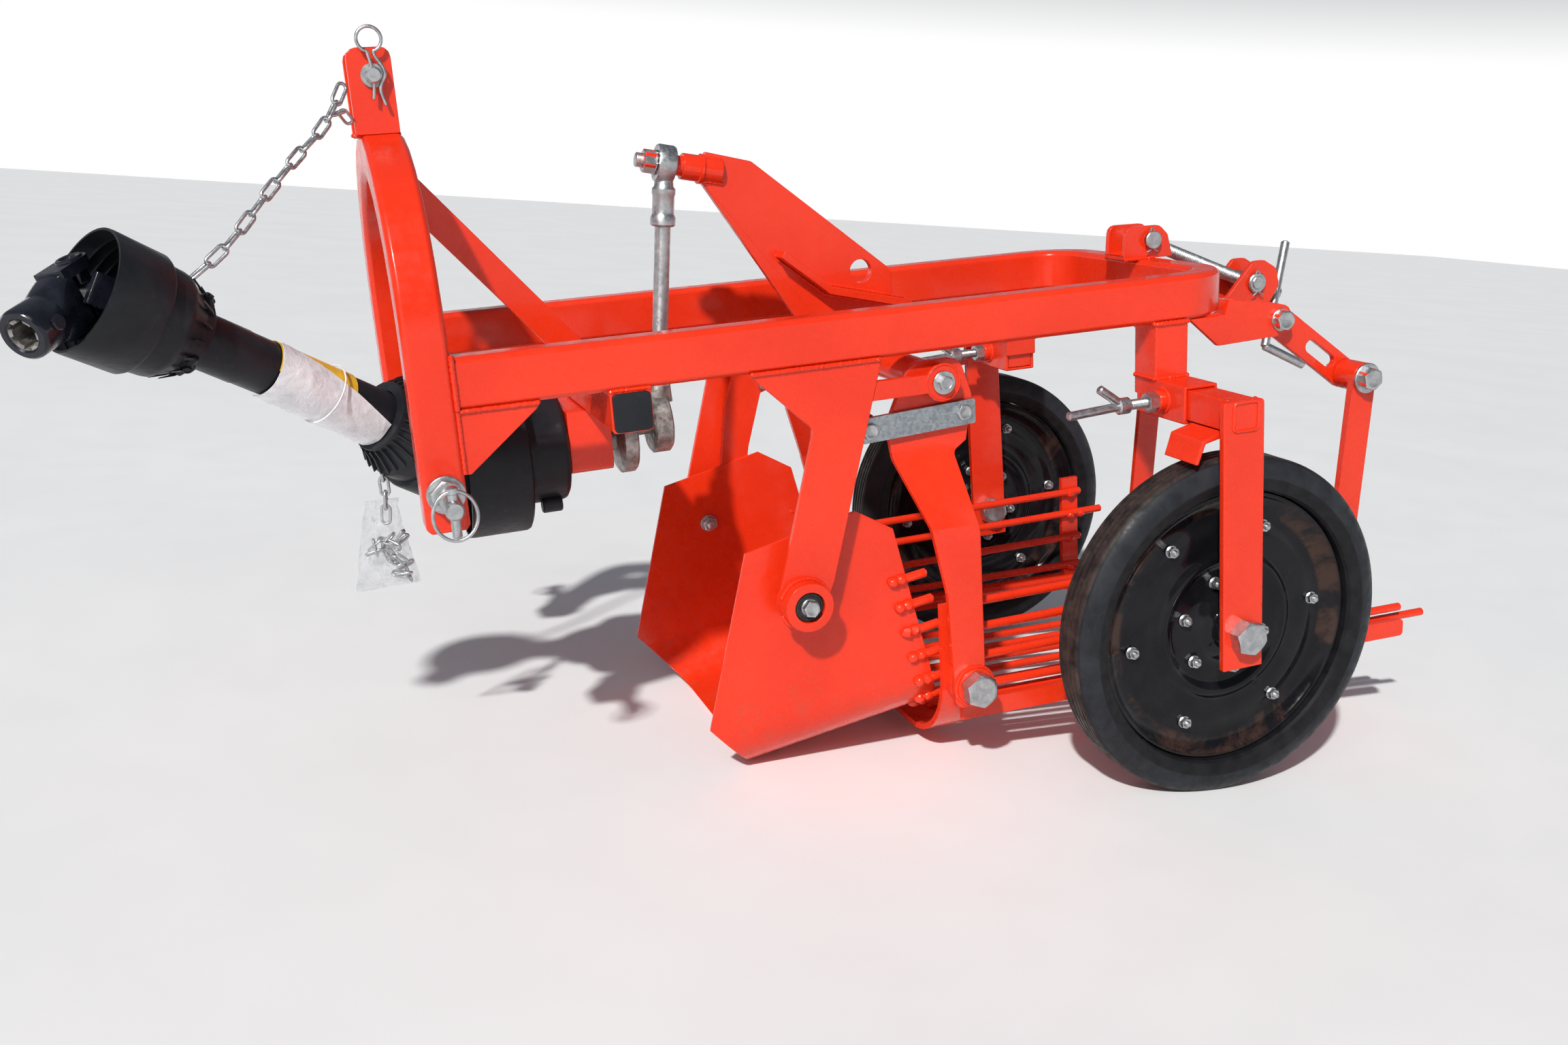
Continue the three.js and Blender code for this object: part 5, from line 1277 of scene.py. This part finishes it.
def paperwork():
    bm = bmesh.new()
    wrap(bm, GUARD_RADIUS + 0.9, (214, 318), lambda part: (-94, 22), 0.0, 0.4, 0.0, 12, 40)
    drive_piece("blank_label", bm, "label")
    bm = bmesh.new()
    wrap(bm, GUARD_RADIUS + 1.7, (158, 317), sleeve_limits, 1.8, 0.6, 6.5)
    drive_piece("document_wrap", bm, "sleeve_paper", ("document_sleeve",))
    bm = bmesh.new()
    loop = arc((-2, -2, 238), (0.1, 0, 1), GUARD_RADIUS + 5.5, -200, 10, 4, (1, 0, 0))
    tube(bm, loop, 1.0, 8, rounded=True)
    drive_piece("cable_tie", bm, "sleeve_paper")


guard_tube()
guard_cone("guard_bell_front", "pto_cone_front", DRIVE_LENGTH, 68, 1)
guard_cone("guard_bell_rear", "pto_cone_rear", 32, 73, -1)
collars()
front_yoke()
paperwork()

# ---- Chains and the bag -----------------------------------------------------------


def chain_link(bm, centre, along, side, length=33, width=15, wire=2.1):
    """Oval link of round wire."""
    along = along.normalized()
    side = (side - along * side.dot(along)).normalized()
    straight = length / 2 - width / 2
    points = []
    for end in (1, -1):
        for i in range(9):
            angle = math.pi * (i / 8 - 0.5)
            x = end * (straight + (width / 2 - wire) * math.cos(angle))
            y = end * (width / 2 - wire) * math.sin(angle)
            points.append(centre + along * x + side * y)
    tube(bm, points, wire, 10, closed=True)


def chain_run(bm, route, pitch=25.0, length=33, width=15, wire=2.1):
    path = resample(curve(route, 10), pitch)
    for i, (a, b) in enumerate(zip(path, path[1:])):
        along = b - a
        flat = along.cross(Vector((0, 1, 0))).normalized()
        side = flat if i % 2 else along.cross(flat).normalized()
        side = (side + 0.25 * (along.cross(side).normalized())).normalized()
        chain_link(bm, (a + b) / 2, along, side, length, width, wire)


def guard_chain():
    bm = bmesh.new()
    start = DRIVE @ Vector((56, 0, DRIVE_LENGTH - 102))
    route = [start, (-47, -158, 838), (3, -119, 889), (41, -91, 926), (76, -65, 958), (104, -36, 1001)]
    chain_run(bm, route)
    chain_run(bm, [(86, -57, 968), (97, -47, 972), (106, -36, 960)], 18, 25, 13, 1.9)
    piece("guard_links", bm, "zinc", "root", ("guard_chain",))


BAG = Vector((84, -66, 504))


def bag_width(part):
    """Half width and middle of the bag, from its tied neck down."""
    left = -29 - 25 * part ** 0.8
    right = 15 + 16 * part ** 1.1
    return (right - left) / 2, (left + right) / 2


def bag_ring(part, count=56):
    half, middle = bag_width(part)
    ends = 1 - max(0, (part - 0.86) / 0.14) ** 2.4 * 0.72
    full = (4 + 10 * math.sin(math.pi * min(1, part * 1.02)) ** 0.7) * ends + 0.8
    ring = []
    for k in range(count):
        angle = 2 * math.pi * k / count
        crumple = noise.noise(Vector((math.cos(angle) * 2.2, part * 7, math.sin(angle) * 2.2)))
        fold = noise.noise(Vector((math.cos(angle) * 5, part * 16, math.sin(angle) * 5 + 9)))
        wide = (half - 3) * (1 + 0.06 * crumple)
        y = full * math.sin(angle) * (1 + 0.35 * crumple + 0.22 * fold)
        ring.append(BAG + Vector((middle + wide * math.cos(angle), y, -103 * part + 2 * fold)))
    return ring


def bag():
    rings = [bag_ring(i / 44) for i in range(45)]
    neck = []
    for point in rings[0]:
        x = BAG.x - 6 + (point.x - BAG.x + 7) * 1.12
        neck.append(Vector((x, BAG.y + (point.y - BAG.y) * 0.8, BAG.z + 8)))
    bm = bmesh.new()
    loft(bm, [neck] + rings)
    piece("bag_pouch", bm, "bag_plastic", "root", ("chain_bag",), 60)
    bm = bmesh.new()
    drop = [BAG + Vector(step) for step in ((-1, 0, 52), (0, 0, 20), (-4, 0, -20))]
    chain_run(bm, drop, 19, 27, 14, 1.9)
    rng = random.Random(11)
    for _ in range(16):
        part = rng.uniform(0.4, 0.9)
        half, middle = bag_width(part)
        spot = BAG + Vector((middle + rng.uniform(-0.66, 0.66) * half, rng.uniform(-4, 4), -101 * part))
        along = Vector((rng.uniform(-1, 1), rng.uniform(-0.25, 0.25), rng.uniform(-1, 1)))
        side = Vector((rng.uniform(-1, 1), 0.6, rng.uniform(-1, 1)))
        chain_link(bm, spot, along, side, 25, 12, 1.7)
    piece("bag_chain", bm, "zinc", "root")


guard_chain()
bag()

# ---- Welds ------------------------------------------------------------------------


def weld_frame():
    bm = bmesh.new()
    seed = 100
    for sign in SIDES.values():
        y = sign * 231
        inner = sign * 189
        lines = [
            ([(166, y, 640), (166, y, 700)], 3.4),
            ([(166, inner, 640), (166, inner, 700)], 3.4),
            ([(166, y, 701), (166, inner, 701)], 3),
            ([(166, y, 639), (166, inner, 639)], 3),
            ([(168, sign * 229, 639), (258, sign * 229, 639)], 2.8),
            ([(166, sign * 229, 640), (166, sign * 229, 568)], 2.8),
            ([(513, sign * 230.5, 639.5), (682, sign * 230.5, 639.5)], 3),
            ([(340, sign * 224, 641), (340, sign * 192, 641)], 2.6),
            ([(340, sign * 228, 640), (390, sign * 228, 640)], 2.8),
            ([(1078, sign * 230.5, 639.5), (1128, sign * 230.5, 639.5)], 3.2),
            ([(1077.5, sign * 230, 640), (1077.5, sign * 182, 640)], 3.2),
            ([(1078, sign * 231, 566.5), (1128, sign * 231, 566.5)], 3),
            ([(1077.5, sign * 230, 566.5), (1077.5, sign * 182, 566.5)], 3),
            ([(1129, sign * 230, 566.5), (1129, sign * 182, 566.5)], 3),
            ([(1136, sign * 217, 640), (1186, sign * 217, 640)], 2.6),
            ([(112, sign * 31, 943), (162, sign * 31, 943)], 2.6),
            ([(111, sign * 24, 944), (111, sign * 37, 944)], 2.4),
            ([(168, sign * 6, 903), (168, sign * 6, 848)], 2.4),
            ([(340, sign * 6, 640.5), (385, sign * 6, 640.5)], 2.6),
            ([(1161, sign * 27, 701), (1208, sign * 27, 701)], 2.6),
        ]
        for points, radius in lines:
            bead(bm, points, radius, seed)
            seed += 1
        bead(bm, arc(xz(SHARE_PIVOT, sign * 231), (0, 1, 0), 33, -70, 250, 3, (0, 0, 1)), 2.8, seed)
        bead(bm, arc(Vector((1078, sign * 247, ARM_TUBE[1])), (1, 0, 0), 16, 0, 360), 2.6, seed + 1)
        bead(bm, arc(xz(ROCKER, sign * 228.5), (0, 1, 0), 23, 0, 360), 1.8, seed + 2)
    piece("frame_welds", bm, "red_paint", "root")


def weld_rocker():
    bm = bmesh.new()
    for sign in (-1, 1):
        y = sign * 7
        bead(bm, [(634, y, 760), (700, y, 711), (816, y, 681)], 2.4, 200 + sign)
        bead(bm, [(634, y, 749), (698, y, 697), (812, y, 668)], 2.2, 210 + sign)
        bead(bm, arc(xz(ROCKER, sign * 6.5), (0, 1, 0), 22, 40, 320), 2.4, 220 + sign)
        for seed, near, rise in ((230, 46, 15), (231, 50, -15)):
            line = [xz(EYE, y) + STUD * reach + Vector((0, 0, rise)) for reach in (near, 76)]
            bead(bm, line, 2.6, seed)
        bead(bm, arc(xz(SIEVE_BOLT, sign * 246), (0, 1, 0), 27, 0, 360), 2.6, 240 + sign)
        bead(bm, arc(xz(ROCKER, sign * 194.5), (0, 1, 0), 22, 0, 360), 2.6, 250 + sign)
    stud = EYE
    ring = basis(xz(stud, 0) + STUD * 45, STUD)
    lathe(bm, [(17.4, 0), (19.4, 1), (19.4, 5), (17.4, 6)], ring.translation, STUD, 40)
    piece("rocker_welds", bm, "red_paint", "rocker")


def weld_arm(side, leg_out, leg_in):
    """Square outline where the arm's tube comes through its leg."""
    x, z = ARM_TUBE
    bm = bmesh.new()
    square = rounded([(x - 18, z - 18, 5), (x + 18, z - 18, 5), (x + 18, z + 18, 5), (x - 18, z + 18, 5)])
    path = [Vector((u, leg_out, v)) for u, v in square + square[:1]]
    bead(bm, path, 2.4, 300)
    back = [(x - 20.5, leg_in, z - 20), (x - 20.5, leg_in, z + 20)]
    bead(bm, back, 2.6, 301)
    bead(bm, [(x + 20.5, leg_in, z - 20), (x + 20.5, leg_in, z + 20)], 2.6, 302)
    bead(bm, [(x - 20, leg_in, z - 20.5), (x + 20, leg_in, z - 20.5)], 2.6, 303)
    piece("arm_welds_" + side, bm, "red_paint", "wheel_arm_" + side)


def share_rear_at(z):
    upper, lower = ((704, 409), (754, 190)) if z > 190 else ((754, 190), (776, 90))
    return lower[0] + (upper[0] - lower[0]) * (z - lower[1]) / (upper[1] - lower[1])


def weld_share():
    slope = math.radians(7.8)
    floor = 101 + (776 - 500) * math.tan(slope)
    section = u_section(198, 72, floor - 2, 339)
    bm = bmesh.new()
    along = Vector((math.cos(slope), 0, math.sin(slope)))
    spots = resample([Vector((0, y, z)) for y, z in section], path_length(section) / 20)
    for i, spot in enumerate(spots):
        edge = Vector((share_rear_at(spot.z), spot.y, spot.z))
        root = edge - along * 24
        tip = edge + along * 26
        tube(bm, resample([root, tip], 12), 6.1, 16, rounded=True)
        for k, back in enumerate((20, 8)):
            blob(bm, edge - along * back, 7.6, 400 + 3 * i + k, (1.2, 1, 1))
    for sign in SIDES.values():
        bead(bm, [(596, sign * 198.5, 428), (633, sign * 198.5, 436)], 2.4, 470 + sign)
    piece("share_fingers", bm, "red_paint", "share")


def path_length(points):
    return sum(math.dist(a, b) for a, b in zip(points, points[1:]))


weld_frame()
weld_rocker()
weld_arm("left", -389.2, -378.5)
weld_arm("right", 323.2, 312.8)
weld_share()

# ---- Camera, floor and light ------------------------------------------------------


def camera():
    data = bpy.data.cameras.new("camera")
    data.sensor_width = 36
    data.lens = 32.58
    data.clip_end = 100
    obj = bpy.data.objects.new("camera", data)
    bpy.context.scene.collection.objects.link(obj)
    right = Vector((0.939, -0.3377, -0.0624)).normalized()
    ahead = Vector((0.3085, 0.9097, -0.2778))
    ahead = (ahead - right * ahead.dot(right)).normalized()
    turn = Matrix((right, right.cross(ahead), -ahead)).transposed()
    spin = PLACE.to_3x3().normalized()
    obj.matrix_world = Matrix.Translation(PLACE @ Vector((0, -1830, 940))) @ (spin @ turn).to_4x4()
    bpy.context.scene.camera = obj
    return obj


def floor():
    bm = bmesh.new()
    bmesh.ops.create_grid(bm, x_segments=2, y_segments=2, size=30)
    mesh = bpy.data.meshes.new("floor")
    bm.to_mesh(mesh)
    bm.free()
    obj = bpy.data.objects.new("floor", mesh)
    obj.location.z = -0.0005
    mesh.materials.append(floor_pale())
    bpy.context.scene.collection.objects.link(obj)


def lamp(name, place, aim, power, size, tone=(1, 1, 1)):
    data = bpy.data.lights.new(name, "AREA")
    data.energy = power
    data.shape = "DISK"
    data.size = size
    data.color = tone
    obj = bpy.data.objects.new(name, data)
    obj.location = place
    obj.rotation_euler = (Vector(aim) - Vector(place)).to_track_quat("-Z", "Y").to_euler()
    bpy.context.scene.collection.objects.link(obj)


def sun():
    data = bpy.data.lights.new("sun", "SUN")
    data.energy = 3.7
    data.angle = math.radians(2)
    data.color = (1.0, 0.985, 0.96)
    obj = bpy.data.objects.new("sun", data)
    towards = PLACE.to_3x3() @ Vector((-0.42, -0.62, 0.72))
    obj.rotation_euler = towards.to_track_quat("Z", "Y").to_euler()
    bpy.context.scene.collection.objects.link(obj)


def sky():
    """White near the horizon, duller and bluer overhead."""
    world = bpy.data.worlds.new("studio")
    world.use_nodes = True
    tree = world.node_tree
    shade = tree.nodes["Background"]
    place = tree.nodes.new("ShaderNodeTexCoord")
    parts = tree.nodes.new("ShaderNodeSeparateXYZ")
    blend = tree.nodes.new("ShaderNodeValToRGB")
    tree.links.new(place.outputs["Generated"], parts.inputs[0])
    tree.links.new(parts.outputs["Z"], blend.inputs["Fac"])
    tree.links.new(blend.outputs["Color"], shade.inputs["Color"])
    ramp = blend.color_ramp
    ramp.elements[0].position = 0.1
    ramp.elements[0].color = (1.0, 1.0, 1.0, 1)
    ramp.elements[1].position = 0.2
    ramp.elements[1].color = (0.15, 0.165, 0.19, 1)
    shade.inputs["Strength"].default_value = 1.0
    bpy.context.scene.world = world


camera()
floor()
sky()
sun()
lamp("soft", (-1.6, -2.6, 2.6), (0.1, 0.0, 0.35), 12, 1.6)
bpy.context.scene.view_settings.view_transform = "Standard"
